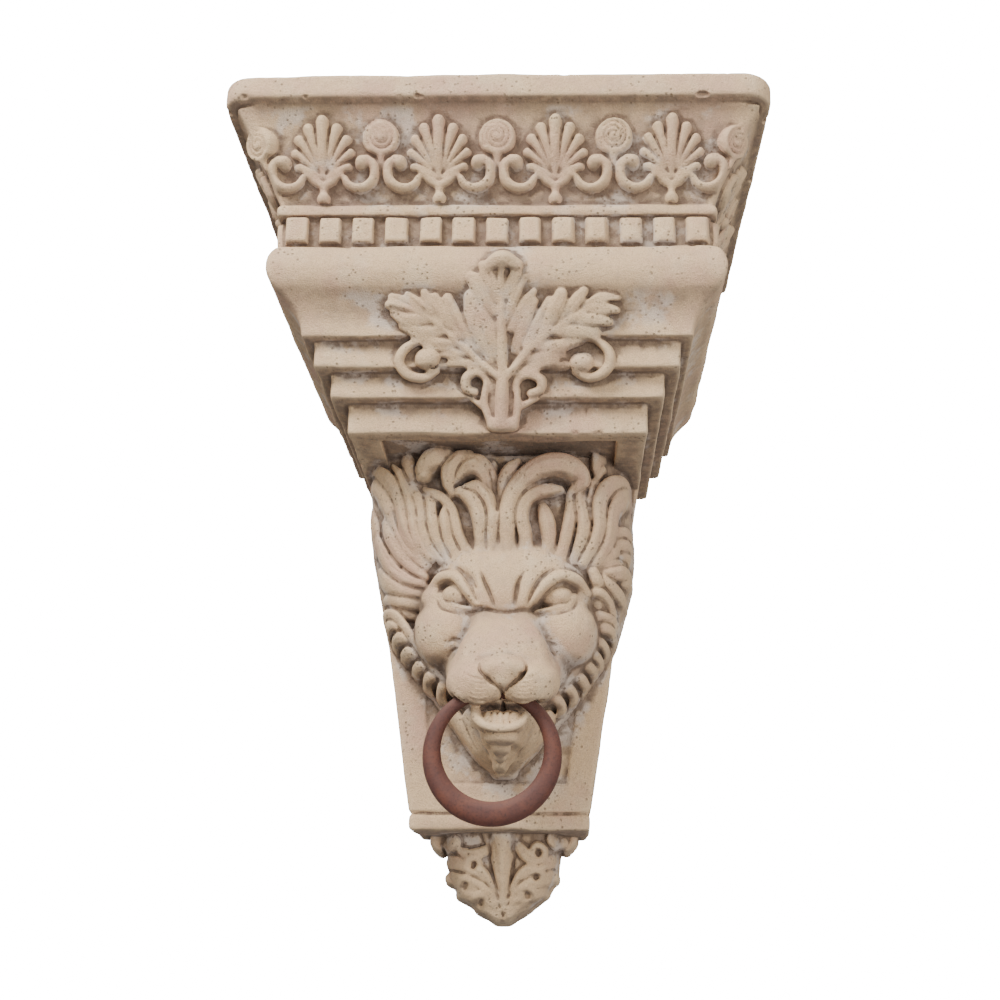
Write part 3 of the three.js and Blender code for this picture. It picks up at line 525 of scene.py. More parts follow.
def addBall(field, place, halves, soft, cut=False):
    x0, z0, h0 = place
    rx, rz, rh = halves
    x0, d0 = x0 + stone["headShift"], h0 + block["depth"]
    gap = soft + 3
    where, (x, d, z) = field.part((x0 - rx - gap, d0 - rh - gap, z0 - rz - gap),
                                  (x0 + rx + gap, d0 + rh + gap, z0 + rz + gap))
    p = ((x - x0) / rx, (d - d0) / rh, (z - z0) / rz)
    size = np.sqrt(p[0] ** 2 + p[1] ** 2 + p[2] ** 2) + 1e-6
    slope = np.sqrt((p[0] / rx) ** 2 + (p[1] / rh) ** 2 + (p[2] / rz) ** 2) + 1e-6
    ball = (1 - size) * size / slope
    old = field.values[where]
    field.values[where] = -softMax(-old, ball, soft) if cut else softMax(old, ball, soft)


def addBar(field, points, radius, soft):
    # a round bar through places given as x, z and h
    path = smoothPath(points, 4) + (stone["headShift"], 0, block["depth"])
    path = path[:, [0, 2, 1]]
    gap = radius + soft + 2
    where, axes = field.part(path.min(0) - gap, path.max(0) + gap)
    off = np.full(field.values[where].shape, 99.0, np.float32)
    for a, b in zip(path, path[1:]):
        run = b - a
        t = sum((axis - p) * r for axis, p, r in zip(axes, a, run)) / (run @ run)
        t = np.clip(t, 0, 1)
        apart = sum((axis - p - t * r) ** 2 for axis, p, r in zip(axes, a, run))
        off = np.minimum(off, np.sqrt(apart))
    field.values[where] = softMax(field.values[where], radius - off, soft)


def faceLines():
    # fine cuts over the muzzle and the teeth, as depths
    canvas = newCanvas((-50, 50), (-560, -470), 0.75)
    for s in (-1, 1):
        for k in range(7):      # the whisker rows
            low = 2.9 * k
            line = [(s * (4 + 0.9 * k), -514 + low), (s * 13, -519 + 1.05 * low),
                    (s * 26, -518 + 1.1 * low), (s * 41, -503 + low)]
            cutGroove(canvas, line, [0.9, 1.35, 1.35, 0.9], [0.6, 1.7, 1.6, 0.5])
        nostril = [(s * 19 + 1, -487), (s * 18.5 + 1, -494), (s * 12 + 1, -500.5),
                   (s * 6 + 1, -505), (1, -511)]
        depths = (1.5 + 0.35 * s) * np.array([1, 2.6, 2.4, 2, 1])
        cutGroove(canvas, nostril, [1.2, 2.3, 2.3, 1.8, 1.2], depths)
    for k in range(-2, 2):
        cutGroove(canvas, [(k * 5.2 + 1.6, -523), (k * 5.1 + 1.6, -533)], [1.1, 1.1], [2.2, 1.2])
    cutGroove(canvas, [(0, -508), (0, -519)], [1.5, 3.0], [2.5, 6])
    return canvas


# The acanthus leaf, as heights over the plane that touches the steps and the cyma. u is
# from the stem and v up the lean from the button at its foot.

# each bar: the places it runs through, its radii, its lifts and its crown
leafBars = [
    # the low ground that the leaflets stand on
    ([(0, 46), (-30, 80), (-66, 102)], [10, 19, 12], [-1, -1, -2], 0.1),
    ([(4, 46), (30, 80), (68, 98)], [10, 19, 12], [-1, -1, -2], 0.1),
    ([(0, 60), (3, 118)], [15, 17], [0, 0], 0.1),
    # the middle leaf with its smooth left half and its curled head
    ([(0, 12), (1, 60), (0, 100), (0, 138)], [6.5, 5, 4, 4], [5, 5, 5], 1.0),
    ([(-3, 55), (-15, 88), (-21, 114)], [8, 15, 12], [2, 3, 3], 0.35),
    ([(-5, 105), (-18, 126), (-25, 133)], [8, 9, 6], [2, 3, 3], 0.6),
    ([(-3, 116), (-11, 138), (-15, 143)], [6, 7, 5], [3, 4, 3], 0.7),
    ([(5, 96), (13, 122), (20, 133)], [5, 6, 4.5], [2, 3, 2], 0.8),
    ([(4, 118), (13, 138), (16, 142)], [5, 6, 4.5], [3, 4, 3], 0.8),
    ([(9, 90), (20, 111), (28, 121)], [5, 5.5, 4], [2, 2, 2], 0.8),
    ([(-11, 142), (1, 148), (14, 143)], [6, 8, 6], [5, 8, 5], 0.8),
    ([(2, 148), (1, 133)], [6, 1.5], [9, 8], 1.0),
    # the left leaf, worn at its end
    ([(-4, 50), (-20, 63), (-35, 77), (-63, 101), (-93, 112)], [3.5, 3, 2.6, 2.2], [6, 6, 4], 1.0),
    ([(-20, 66), (-38, 94), (-45, 115)], [7, 9, 5.5], [1, 2, 2], 0.55),
    ([(-36, 82), (-49, 100), (-56, 116)], [6, 7, 5], [1, 2, 2], 0.7),
    ([(-46, 90), (-58, 108), (-65, 120)], [6, 6, 4.5], [1, 2, 1], 0.7),
    ([(-58, 98), (-72, 112), (-79, 118)], [6, 6, 4.5], [1, 2, 1], 0.7),
    ([(-70, 105), (-84, 114), (-93, 117)], [5, 5, 4], [1, 1, 1], 0.7),
    ([(-78, 106), (-95, 110)], [5, 5], [1, 1], 0.7),
    ([(-62, 98), (-80, 97), (-91, 103)], [6, 7, 4.5], [1, 2, 1], 0.6),
    ([(-50, 88), (-68, 86), (-84, 92)], [6, 7, 4.5], [1, 2, 1], 0.6),
    ([(-36, 76), (-55, 76), (-74, 82)], [6, 7, 4], [1, 2, 1], 0.6),
    ([(-22, 64), (-40, 68), (-57, 72)], [6, 6, 3.5], [1, 2, 1], 0.6),
    # the right leaf, sharper
    ([(5, 50), (27, 76), (53, 94), (83, 112), (98, 114)], [3.5, 3, 2.6, 2], [6, 6, 4], 1.0),
    ([(12, 72), (21, 97), (29, 113)], [5, 6, 4], [1, 2, 2], 0.8),
    ([(22, 76), (35, 100), (41, 114)], [6, 6.5, 4.5], [1, 2, 2], 0.8),
    ([(33, 82), (46, 106), (51, 119)], [6, 8, 6.5], [1, 3, 3], 0.7),
    ([(50, 94), (62, 111), (70, 121)], [6, 7, 5.5], [1, 2, 2], 0.7),
    ([(68, 105), (84, 116), (99, 115)], [5, 5, 3], [1, 2, 1], 0.8),
    ([(72, 106), (88, 106), (98, 105)], [5, 6, 4], [1, 2, 2], 0.8),
    ([(60, 98), (78, 97), (92, 95)], [6, 6.5, 4.5], [1, 2, 2], 0.8),
    ([(46, 88), (64, 87), (82, 86)], [6, 7, 4.5], [1, 2, 2], 0.7),
    ([(30, 75), (50, 75), (68, 79)], [6, 6.5, 4], [1, 2, 1], 0.7),
    ([(16, 61), (36, 65), (54, 67)], [5, 6, 3], [1, 2, 1], 0.7),
    # volutes and the small scrolls by the cup
    ([(-54, 78), (-70, 79), (-83, 72), (-87, 61), (-80, 51), (-67, 48), (-56, 54)],
     [3, 4, 5, 5.5, 5.5, 5, 4], [0, 1, 1, 0], 0.9),
    ([(-65, 64), (-61, 65)], [10, 10], [-1, -1], 1.0),
    ([(66, 81), (80, 80), (91, 71), (92, 60), (85, 51), (73, 48), (63, 53)],
     [3, 4, 5, 5.5, 5.5, 5, 4], [0, 1, 1, 0], 0.9),
    ([(66, 61), (71, 61)], [9, 9], [-1, -1], 1.0),
    ([(-53, 67), (-39, 66)], [2, 4.5], [1, 2], 0.8),
    ([(-44, 60), (-29, 60), (-14, 52)], [4, 5, 5], [1, 2, 2], 0.8),
    ([(46, 61), (28, 57), (13, 50)], [4, 5, 5], [1, 2, 2], 0.8),
    ([(-9, 38), (-14, 49), (-22, 53), (-30, 48), (-30, 39), (-23, 36)],
     [4.5, 5, 5, 4.5], [2, 3, 1], 0.8),
    ([(-27, 30), (-17, 25)], [2, 4.5], [0, 2], 0.9),
    ([(9, 38), (15, 48), (24, 51), (34, 46), (33, 38), (25, 35)],
     [4.5, 5, 5, 4.5], [2, 3, 1], 0.8),
    ([(31, 30), (18, 25)], [2, 4.5], [0, 2], 0.9),
    # the cup and its button
    ([(0, 50), (0, 27), (0, 12)], [10, 13, 12], [1, 2, 2], 0.35),
    ([(-13, 46), (-15, 27), (-10, 11)], [3, 3.6, 4], [4, 5, 5], 0.9),
    ([(13, 46), (14, 27), (12, 11)], [3, 3.6, 4], [4, 5, 5], 0.9),
    ([(-6, 8.5), (8, 8.5)], [8, 8], [4, 4], 0.9),
]


def leafCanvas():
    canvas = newCanvas((-110, 115), (-6, 164), 0.7, -26)
    for points, radii, lifts, crown in leafBars:
        leaflet = len(points) == 3 and radii[0] < 9
        if leaflet:
            cutGroove(canvas, points, np.array(radii) + 1.5, [1.2], shoulders=0.6)
        raiseBar(canvas, points, radii, lifts, crown)
        if leaflet:
            cutGroove(canvas, points, [1.0, 1.6, 1.2], [0.6, 1.5, 0.8])
    spread(canvas, 0.65)
    addSteepness(canvas)
    return canvas


# The pendant, as depths from the wall.

pendantShape = {
    "middle": 1.0,
    "half": [(-600, 56), (-626, 52), (-644, 50), (-657, 45), (-666, 40), (-675, 28), (-683, 16),
             (-690, 6)],
    "depth": [(-600, 84), (-640, 74), (-670, 60), (-692, 46)],
    # laid on the body: places, radii, lifts
    "scrolls": [
        ([(-10, -606), (-33, -603), (-52, -608), (-61, -617), (-58, -625)],
         [4, 6, 7, 7, 4], [2, 4, 3, 1]),
        ([(-46, -621), (-44, -621)], [8.5, 8.5], [3, 3]),
        ([(10, -606), (36, -603), (56, -607), (64, -614), (60, -624)],
         [4, 6, 7, 7, 4], [2, 4, 3, 1]),
        ([(50, -617), (53, -617)], [9, 9], [3, 3]),
        ([(1, -604), (2, -636), (3, -664), (3, -684)], [14, 9, 5, 4], [0, 2, 2, 0]),
        ([(-14, -612), (-7, -632), (-2, -660)], [3, 3, 2], [3, 4, 3]),
        ([(15, -612), (9, -634), (6, -662)], [3, 3, 2], [3, 4, 3]),
    ],
    "lobes": [
        ([(-6, -664), (-18, -648), (-34, -640), (-47, -636)], [5, 7, 7, 6], [0, 2, 2, 0]),
        ([(-5, -672), (-20, -660), (-36, -654), (-48, -650)], [5, 7, 7, 6], [0, 2, 2, 0]),
        ([(-4, -680), (-16, -670), (-30, -667), (-39, -664)], [5, 6, 6, 5], [0, 2, 2, 0]),
        ([(-14, -628), (-26, -632), (-36, -628)], [5, 6, 4], [1, 2, 1]),
        ([(-3, -684), (-14, -680), (-22, -677)], [4, 5, 4], [0, 1, 0]),
        ([(10, -664), (22, -648), (36, -640), (47, -636)], [5, 7, 7, 6], [0, 2, 2, 0]),
        ([(9, -672), (23, -660), (37, -654), (48, -649)], [5, 7, 7, 6], [0, 2, 2, 0]),
        ([(8, -680), (19, -670), (31, -666), (40, -662)], [5, 6, 6, 5], [0, 2, 2, 0]),
        ([(16, -624), (27, -634), (38, -632)], [5, 6, 5], [1, 2, 1]),
        ([(7, -685), (17, -679), (25, -675)], [4, 5, 4], [0, 1, 0]),
    ],
    "eyelets": [(34, -630), (-24, -641), (32, -651), (-32, -658), (24, -666), (-18, -672)],
}


def pendantCanvas():
    p = pendantShape
    canvas = newCanvas((-78, 80), (-694, -596), 0.75)
    x, z = canvas["u"][:, None] - p["middle"], canvas["v"][None, :]
    half = np.interp(z, *zip(*p["half"][::-1]))
    depth = np.interp(z, *zip(*p["depth"][::-1]))
    reach = np.minimum(np.abs(x) / (half + 2), 1)
    body = depth * (1 - reach ** 5) ** 0.35 - 4
    canvas["h"] = body.copy()
    floor = np.maximum(body, depth * 0.55)
    for points, radii, lifts in p["scrolls"] + p["lobes"]:
        cutGroove(canvas, points, np.array(radii) + 2, [4], shoulders=0.4)
        raiseBar(canvas, points, radii, lifts, 0.95, base=floor)
    for points, *_ in p["lobes"]:
        cutGroove(canvas, points, [1.4, 2.2, 1.4], [1.4, 3.4, 1.6])
    for x0, z0 in p["eyelets"]:
        s = 1 if x0 > 0 else -1
        curl = [(x0 - s * 6, z0 + 2), (x0 - s * 1, z0 + 7), (x0 + s * 6, z0 + 3), (x0 + s * 5, z0 - 5)]
        raiseBar(canvas, curl, [2.5, 3.4, 3.2, 2], [3, 5, 5, 3], 0.9, base=floor)
        cutGroove(canvas, [(x0, z0), (x0 + 0.5, z0 + 0.5)], [4, 4], [8, 8])
    for s in (-1, 1):
        edge = [(s * 15 + 1, -602), (s * 10 + 1, -630), (s * 6 + 2, -660), (s * 4 + 3, -678)]
        cutGroove(canvas, edge, [2.2, 2.6, 2.2, 1.5], [4, 5, 4, 2])
    canvas["h"] = np.where(canvas["v"][None, :] < -691, -20, canvas["h"])
    spread(canvas, 0.7)
    addSteepness(canvas)
    return canvas


# The whole stone as one field, positive inside. Sizes are the casting's own.

stone = {
    "voxel": 1.3,    # mm, how fine the carving is taken
    "triangles": 192000,
    "mitreExtra": 121.0,    # how much deeper each moulding is than half its width
    "slabCorner": 24.0, "sharpCorner": 4.0,     # plan radii of the slab and of what is below
    "slabFoot": -26.0,
    "lowestHalf": 129.5,    # half width of the lowest step
    "soffitHalf": 103.0, "soffitRim": 20.0, "soffitFloor": -285.5,      # its sunk panel
    "pendantUp": 4.0,
    "headShift": 6.0,
    "leafFoot": (4.0, -290.5),
    "leafLean": math.atan2(195 - 129.5, 290.5 - 161),       # from the lowest step to the cyma
}

dentils = {
    "pitch": 28.7, "half": 10.0, "halfHeight": 12.5, "out": 8.0,
    "middle": -125.5,       # height
    "groundHalf": 183.5,
}

block = {
    "depth": 109.0,
    "halves": [(-593.5, 80.5), (-290.5, 128.5)],        # height and half width
    "foot": -609.0,
    "panelHalves": [(-569, 60), (-510, 68)], "panelSunk": 2.0,
    "groove": -594.7, "bead": -591.5,       # heights of the lines over the plinth fillet
}

wearing = {
    "arris": 2.2,           # mm, how round the most worn arrises are
    "patch": 38.0,          # mm, the size of the worn places
    "least": 0.25, "most": 1.6,
    # size, height and seed of the cast surface's two unevennesses, in mm
    "uneven": [(30.0, 0.4, 11), (8.0, 0.16, 12)],
    "patchSeed": 21, "nickSeed": 7,
    # half width, height, number and size of the chips along each arris
    "arrises": [(236, -1, 9, 3.0), (234, -23, 16, 3.6), (190, -103, 12, 2.6), (190, -142, 8, 3.0),
                (157, -240, 10, 2.8), (144, -262, 10, 2.8), (129, -290, 10, 3.0)],
}


def bezier(a, b, c, d, steps=8):
    t = np.linspace(0, 1, steps + 1)[1:, None]
    a, b, c, d = (np.asarray(p, float) for p in (a, b, c, d))
    curve = (1 - t) ** 3 * a + 3 * (1 - t) ** 2 * t * b + 3 * (1 - t) * t ** 2 * c + t ** 3 * d
    return [(*p, 0) for p in curve]


def shelfProfile():
    # half width, height and corner radius, from the top of the slab down
    corners = [
        (0, 0, 0), (236, 0, 5), (236, -23, 4), (228, -24.5, 1.5), (222.5, -29, 2.5),
        (203, -66, 40), (187.5, -101, 3), (190.5, -102.5, 1.2), (190.5, -111, 2),
        (183.5, -112, 1), (183.5, -141, 1), (190, -142, 1.5),
        *bezier((190, -142), (199, -157), (198, -173.5), (184, -183.3)),
        *bezier((184, -183.3), (176, -190.8), (168, -198), (168, -216)),
        (157.5, -216.5, 1), (157.5, -240, 2.2), (144, -240.5, 1), (144, -262.5, 2.2),
        (129.5, -263, 1), (129.5, -290.5, 2.5), (0, -290.5, 0),
    ]
    outline = []
    for i, (w, z, radius) in enumerate(corners):
        here = np.array([w, z], float)
        if not radius:
            outline.append(here)
            continue
        ends = [np.asarray(corners[j][:2], float) - here for j in (i - 1, i + 1)]
        lengths = [np.linalg.norm(e) for e in ends]
        back = min(radius, 0.45 * min(lengths))
        a, b = (here + e / size * back for e, size in zip(ends, lengths))
        outline += [(1 - t) ** 2 * a + 2 * t * (1 - t) * here + t * t * b
                    for t in np.linspace(0, 1, 5)]
    return np.array(outline)


def profileDistance(outline, widths, heights):
    # signed distance to the profile, positive inside, over widths by heights
    w, z = widths[:, None], heights[None, :]
    nearest = np.full((len(widths), len(heights)), 1e9)
    inside = np.zeros_like(nearest, bool)
    for a, b in zip(outline, np.roll(outline, -1, 0)):
        run = b - a
        t = np.clip(((w - a[0]) * run[0] + (z - a[1]) * run[1]) / max(run @ run, 1e-9), 0, 1)
        nearest = np.minimum(nearest, np.hypot(w - a[0] - t * run[0], z - a[1] - t * run[1]))
        if a[1] != b[1]:
            crosses = (a[1] > z) != (b[1] > z)
            inside ^= crosses & (w < a[0] + (z - a[1]) / (b[1] - a[1]) * run[0])
    return np.where(inside, nearest, -nearest)


def roundedMin(a, b, radius):
    # where two faces meet in a rounded arris
    inner = np.minimum(a, b)
    bend = radius - np.hypot(np.maximum(radius - a, 0), np.maximum(radius - b, 0))
    return np.where(inner < radius, bend, inner)


def softNoise(axes, cell, seed):
    # smooth noise of about one unit, the same wherever it is read; cell in mm
    starts, spans = (-260, -20, -720), (520, 400, 740)
    rng = np.random.default_rng(seed)
    values = rng.normal(0, 1, [int(span / cell) + 3 for span in spans]).astype(np.float32)
    for k, (axis, start) in enumerate(zip(axes, starts)):
        place = (axis - start) / cell
        index = place.astype(int)
        part = ramp(place - index, 0, 1)
        weights = np.zeros((len(axis), values.shape[k]), np.float32)
        weights[np.arange(len(axis)), index] = 1 - part
        weights[np.arange(len(axis)), index + 1] += part
        values = np.moveaxis(np.tensordot(weights, values, (1, k)), 0, k)
    return values


def dentilRelief(along, z, middles, seed):
    # how far the dentils stand out of their band, each a little unlike the next
    rng = np.random.default_rng(seed)
    relief = np.zeros((len(along), len(z)))
    for middle in middles:
        half = dentils["half"] + rng.uniform(-0.7, 0.5)
        out = dentils["out"] + rng.uniform(-0.8, 0.6)
        shift = rng.uniform(-0.6, 0.6)
        across = roundedMin(half - np.abs(along[:, None] - middle - shift),
                            dentils["halfHeight"] - np.abs(z[None, :] - dentils["middle"]), 2.0)
        relief = np.maximum(relief, out * ramp(across, -0.5, 1.6))
    return relief


def friezeRelief(along, z, palmettes, rosettes, mitre):
    # the frieze leans out by the angle between its foot and its top
    f = friezeCarving
    lean = math.atan2(f["topHalf"] - f["footHalf"], f["rise"])
    canvas = friezeCanvas(palmettes, rosettes, (along[0], along[-1]))
    up = (z[None, :] - f["armsMeet"]) / math.cos(lean)
    relief = heightAt(canvas, *np.broadcast_arrays(along[:, None], up)) / math.cos(lean)
    half = mitre + f["footHalf"] + (z[None, :] - f["foot"]) * math.tan(lean)
    onFrieze = (z > f["foot"] - 1) & (z < f["top"])
    return relief * onFrieze[None, :] * ramp(half - np.abs(along[:, None]), -1.5, 2.5)


class Field:
    # about how far each place of a grid lies under the stone's surface, in mm. whole and
    # where make a smaller field on a box of a larger one's grid.
    def __init__(self, step, whole=None, where=None):
        self.x = np.arange(-245, 245 + step, step)
        self.d = np.arange(-3 * step, 366, step)
        self.z = np.arange(-696, 5, step)
        if whole:
            axes = zip((whole.x, whole.d, whole.z), where)
            self.x, self.d, self.z = (axis[cut] for axis, cut in axes)
        self.values = np.full((len(self.x), len(self.d), len(self.z)), -8, np.float32)

    def part(self, low, high):
        # the slices and the axes of a box
        where, axes = [], []
        for axis, a, b in zip((self.x, self.d, self.z), low, high):
            i, j = np.searchsorted(axis, [a, b])
            where.append(slice(i, j))
            axes.append(axis[i:j])
        x, d, z = axes
        return tuple(where), (x[:, None, None], d[None, :, None], z[None, None, :])

    def add(self, where, values):
        self.values[where] = np.maximum(self.values[where], values)

    def cut(self, where, values):
        self.values[where] = np.minimum(self.values[where], values)


def addShelf(field):
    outline = shelfProfile()
    k0 = np.searchsorted(field.z, -300)
    heights = field.z[k0:]
    widths = np.arange(95, 262, 0.5)
    table = profileDistance(outline, widths, heights)
    halfAt = np.array([widths[np.argmax(column < 0)] if (column > 0).any() else 0
                       for column in table.T])      # the profile's half width at each height
    extra = stone["mitreExtra"]
    x, d = np.abs(field.x)[:, None], (field.d - extra)[None, :]
    pitch, start = friezeCarving["pitch"], friezeCarving["sideStart"]
    frontRelief = friezeRelief(field.x, heights, pitch * (np.arange(4) - 1.5),
                               pitch * (np.arange(3) - 1), 0)
    sideRelief = friezeRelief(field.d, heights, start + pitch * np.arange(3),
                              start + pitch * (np.arange(3) - 0.5), extra)
    pitch = dentils["pitch"]
    frontRelief += dentilRelief(field.x, heights, pitch * np.arange(-6, 7), 5)
    corner = dentils["groundHalf"] + extra
    sideRelief += dentilRelief(field.d, heights, corner - 6 - pitch * (np.arange(10) + 0.25), 6)
    for k in range(len(heights)):
        radius = stone["slabCorner"] if heights[k] > stone["slabFoot"] else stone["sharpCorner"]
        across = x - sideRelief[None, :, k]
        out = d - frontRelief[:, None, k]
        edge = halfAt[k] - radius
        w = np.where((across > edge) & (out > edge),
                     edge + np.hypot(across - edge, out - edge), np.maximum(across, out))
        level = np.interp(w, widths, table[:, k])
        field.values[:, :, k0 + k] = np.maximum(field.values[:, :, k0 + k], level)
    # the sunk panel in the soffit
    where, (x, d, z) = field.part((-110, 100, -300), (110, 240, -280))
    inside = roundedMin(stone["soffitHalf"] - np.abs(x),
                        stone["lowestHalf"] + extra - stone["soffitRim"] - d, 1.5)
    field.cut(where, -np.minimum(inside, stone["soffitFloor"] - z + 0 * x))


def addBlock(field):
    where, (x, d, z) = field.part((-135, -10, -625), (135, 120, -280))
    half = np.interp(z, *zip(*block["halves"]))
    panelHalf = np.interp(z, *zip(*block["panelHalves"]))
    panelFoot = block["panelHalves"][0][0]
    panel = ramp(np.minimum(panelHalf - np.abs(x), z - panelFoot), -0.6, 1.0)
    groove = np.maximum(1 - ((z - block["groove"]) / 2.0) ** 2, 0)
    bead = np.maximum(1 - ((z - block["bead"]) / 1.8) ** 2, 0)
    face = block["depth"] - block["panelSunk"] * panel - 2.4 * groove + 0.8 * bead
    sides = half - np.abs(x) - 2.0 * groove
    body = roundedMin(roundedMin(sides + 0 * d, face - d, 2.5), z - block["foot"], 3.0)
    field.add(where, np.minimum(body, -284 - z))


def addHead(field):
    hair, front = maneCanvas(), faceCanvas()
    shift = stone["headShift"]
    where, (x, d, z) = field.part((shift - 136, 90, -578), (shift + 122, 262, -286.5))
    head = Field(stone["voxel"], field, where)
    u, v = np.broadcast_arrays(x[:, 0, :] - shift, z[:, 0, :])
    for canvas in (hair, front):
        addSteepness(canvas)
        h, steep = heightAt(canvas, u, v), heightAt(canvas, u, v, "steep")
        form = (block["depth"] + h[:, None, :] - d) / steep[:, None, :]
        # the hair grows out of the forehead, and lies apart from the cheeks
        soft = 1.5 + 5 * ramp(v, -400, -388)[:, None, :] * ramp(72 - np.abs(u), -6, 8)[:, None, :]
        head.values = form.astype(np.float32) if canvas is hair else softMax(head.values, form, soft)
    muzzle(head)
    lines = faceLines()
    ahead = (d[0, :, 0] > block["depth"] + 60)[None, :, None]
    inside = (np.abs(u) < 48) & (v > -558) & (v < -472)
    head.values += (heightAt(lines, u, v) * inside)[:, None, :] * ahead
    field.values[where] = softMax(field.values[where], head.values, 2.0)


def addLeaf(field):
    canvas = leafCanvas()
    middle, foot = stone["leafFoot"]
    lean = stone["leafLean"]
    where, (x, d, z) = field.part((middle - 108, 225, foot - 14), (middle + 113, 352, foot + 165))
    out, up = d - (stone["lowestHalf"] + stone["mitreExtra"]), z - foot
    v = out * math.sin(lean) + up * math.cos(lean)
    n = out * math.cos(lean) - up * math.sin(lean)
    u, v, n = np.broadcast_arrays(x - middle, v, n)
    leaf = (heightAt(canvas, u, v) - n) / heightAt(canvas, u, v, "steep")
    field.add(where, leaf)


cornerRosette = {
    "place": (202.0, 205.0, -51.5),     # half width, depth before the mitre's extra, height
    "dip": 22, "turn": 38,      # degrees it looks down and outward
    "sunk": 3.0, "ground": -40.0,
}


def addCornerRosettes(field):
    # each corner of the frieze has a rosette across its mitre
    c = cornerRosette
    canvas = newCanvas((-26, 26), (-34, 26), 0.65, c["ground"])
    rosette(canvas, 0.0, 0.0)
    canvas["h"] = np.where(canvas["h"] > 0, canvas["h"], c["ground"])
    spread(canvas, 0.6)
    addSteepness(canvas)
    dip, turn = math.radians(c["dip"]), math.radians(c["turn"])
    for s in (-1, 1):
        x0, d0, z0 = np.array(c["place"]) * (s, 1, 1) + (0, stone["mitreExtra"], 0)
        where, (x, d, z) = field.part((x0 - 26, d0 - 26, z0 - 30), (x0 + 26, d0 + 26, z0 + 24))
        ahead = s * (x - x0) * math.sin(turn) + (d - d0) * math.cos(turn)
        across = s * (d - d0) * math.sin(turn) - (x - x0) * math.cos(turn)
        n = ahead * math.cos(dip) - (z - z0) * math.sin(dip) - c["sunk"]
        v = ahead * math.sin(dip) + (z - z0) * math.cos(dip)
        u, v, n = np.broadcast_arrays(across, v, n)
        field.add(where, (heightAt(canvas, u, v) - n) / heightAt(canvas, u, v, "steep"))


def addPendant(field):
    canvas = pendantCanvas()
    where, (x, d, z) = field.part((-80, -10, -694), (82, 110, -600))
    u, v = np.broadcast_arrays(x[:, 0, :], z[:, 0, :])
    v = v - stone["pendantUp"]
    depth, steep = heightAt(canvas, u, v), heightAt(canvas, u, v, "steep")
    field.add(where, (depth[:, None, :] - d) / steep[:, None, :])


# The ring hangs by its thin top; its hole sits high in the outer circle.
ring = {
    "outer": 57.4, "inner": 42.5, "offset": 5.2,
    "plane": 210.0, "pivotHeight": -506.0, "shift": -2.0,
    "clearance": 1.5,
    "thick": 0.75, "thickExtra": 1.2,       # half its thickness, from half its width
    "swings": (-40, 4),     # degrees that the mouth leaves free
}


def ringBar(turn):
    # middle radius and half thickness of the bar, turn counted from the top
    across = ring["offset"] * np.sin(turn)
    near = ring["offset"] * np.cos(turn) + np.sqrt(ring["inner"] ** 2 - across ** 2)
    stock = (ring["outer"] - near) / 2
    return near + stock, stock


def ringMiddle():
    topStock = ring["outer"] - ring["inner"] - ring["offset"]
    return -ring["outer"] + topStock / 2


def cutMouth(field):
    r = ring
    cx, cd, cz = r["shift"], r["plane"], r["pivotHeight"]
    where, (x, d, z) = field.part((cx - 62, cd - 62, cz - 62), (cx + 62, cd + 62, cz + 22))
    nearest = np.full(np.broadcast_shapes(x.shape, d.shape, z.shape), 99.0, np.float32)
    for swing in np.radians(np.linspace(*r["swings"], 10)):
        # into the ring's own plane at this swing; depth points out of the wall
        back = -(d - cd) * math.cos(swing) + (z - cz) * math.sin(swing)
        up = (d - cd) * math.sin(swing) + (z - cz) * math.cos(swing) - ringMiddle()
        turn = np.arctan2(x - cx, up)
        middle, stock = ringBar(turn)
        off = np.hypot(np.hypot(x - cx, up) - middle, back / (r["thick"] + r["thickExtra"] / stock))
        nearest = np.minimum(nearest, off - stock - r["clearance"])
    field.cut(where, nearest)


def blurred(values, cells, outside=None):
    # a soft copy of a block of voxels; past its edges it goes on, or holds the value outside
    reach = int(2 * cells + 1)
    taps = np.exp(-0.5 * (np.arange(-reach, reach + 1) / cells) ** 2)
    taps = (taps / taps.sum()).astype(np.float32)
    for axis in (0, 1, 2):
        margins = [(reach, reach) if a == axis else (0, 0) for a in range(3)]
        padded = (np.pad(values, margins, "edge") if outside is None else
                  np.pad(values, margins, constant_values=outside))
        size = values.shape[axis]
        soft = np.zeros_like(values)
        for k, tap in enumerate(taps):
            cut = tuple(slice(k, k + size) if a == axis else slice(None) for a in range(3))
            soft += tap * padded[cut]
        values = soft
    return values


def weather(field):
    # the surface is a little uneven, and arrises are worn round here and there
    step = field.x[1] - field.x[0]
    cells = wearing["arris"] / step
    margin = int(2 * cells + 2)
    old = np.clip(field.values, -12, 12)
    block = 48
    for k in range(0, len(field.z), block):
        low, high = max(k - margin, 0), min(k + block + margin, len(field.z))
        near = (np.abs(old[:, :, k:k + block]) < 4).any(2)
        rows, columns = np.flatnonzero(near.any(1)), np.flatnonzero(near.any(0))
        if not len(rows):
            continue
        i0, i1, j0, j1 = rows[0], rows[-1] + 1, columns[0], columns[-1] + 1
        soft = blurred(old[i0:i1, j0:j1, low:high], cells)[:, :, k - low:k - low + block]
        sharp = np.minimum(soft - old[i0:i1, j0:j1, k:k + block], 0)
        axes = (field.x[i0:i1], field.d[j0:j1], field.z[k:k + block])
        patches = ramp(softNoise(axes, wearing["patch"], wearing["patchSeed"]), -0.4, 1.6)
        share = wearing["least"] + (wearing["most"] - wearing["least"]) * patches
        uneven = sum(height * softNoise(axes, size, seed) for size, height, seed in wearing["uneven"])
        field.values[i0:i1, j0:j1, k:k + block] += share * sharp + uneven


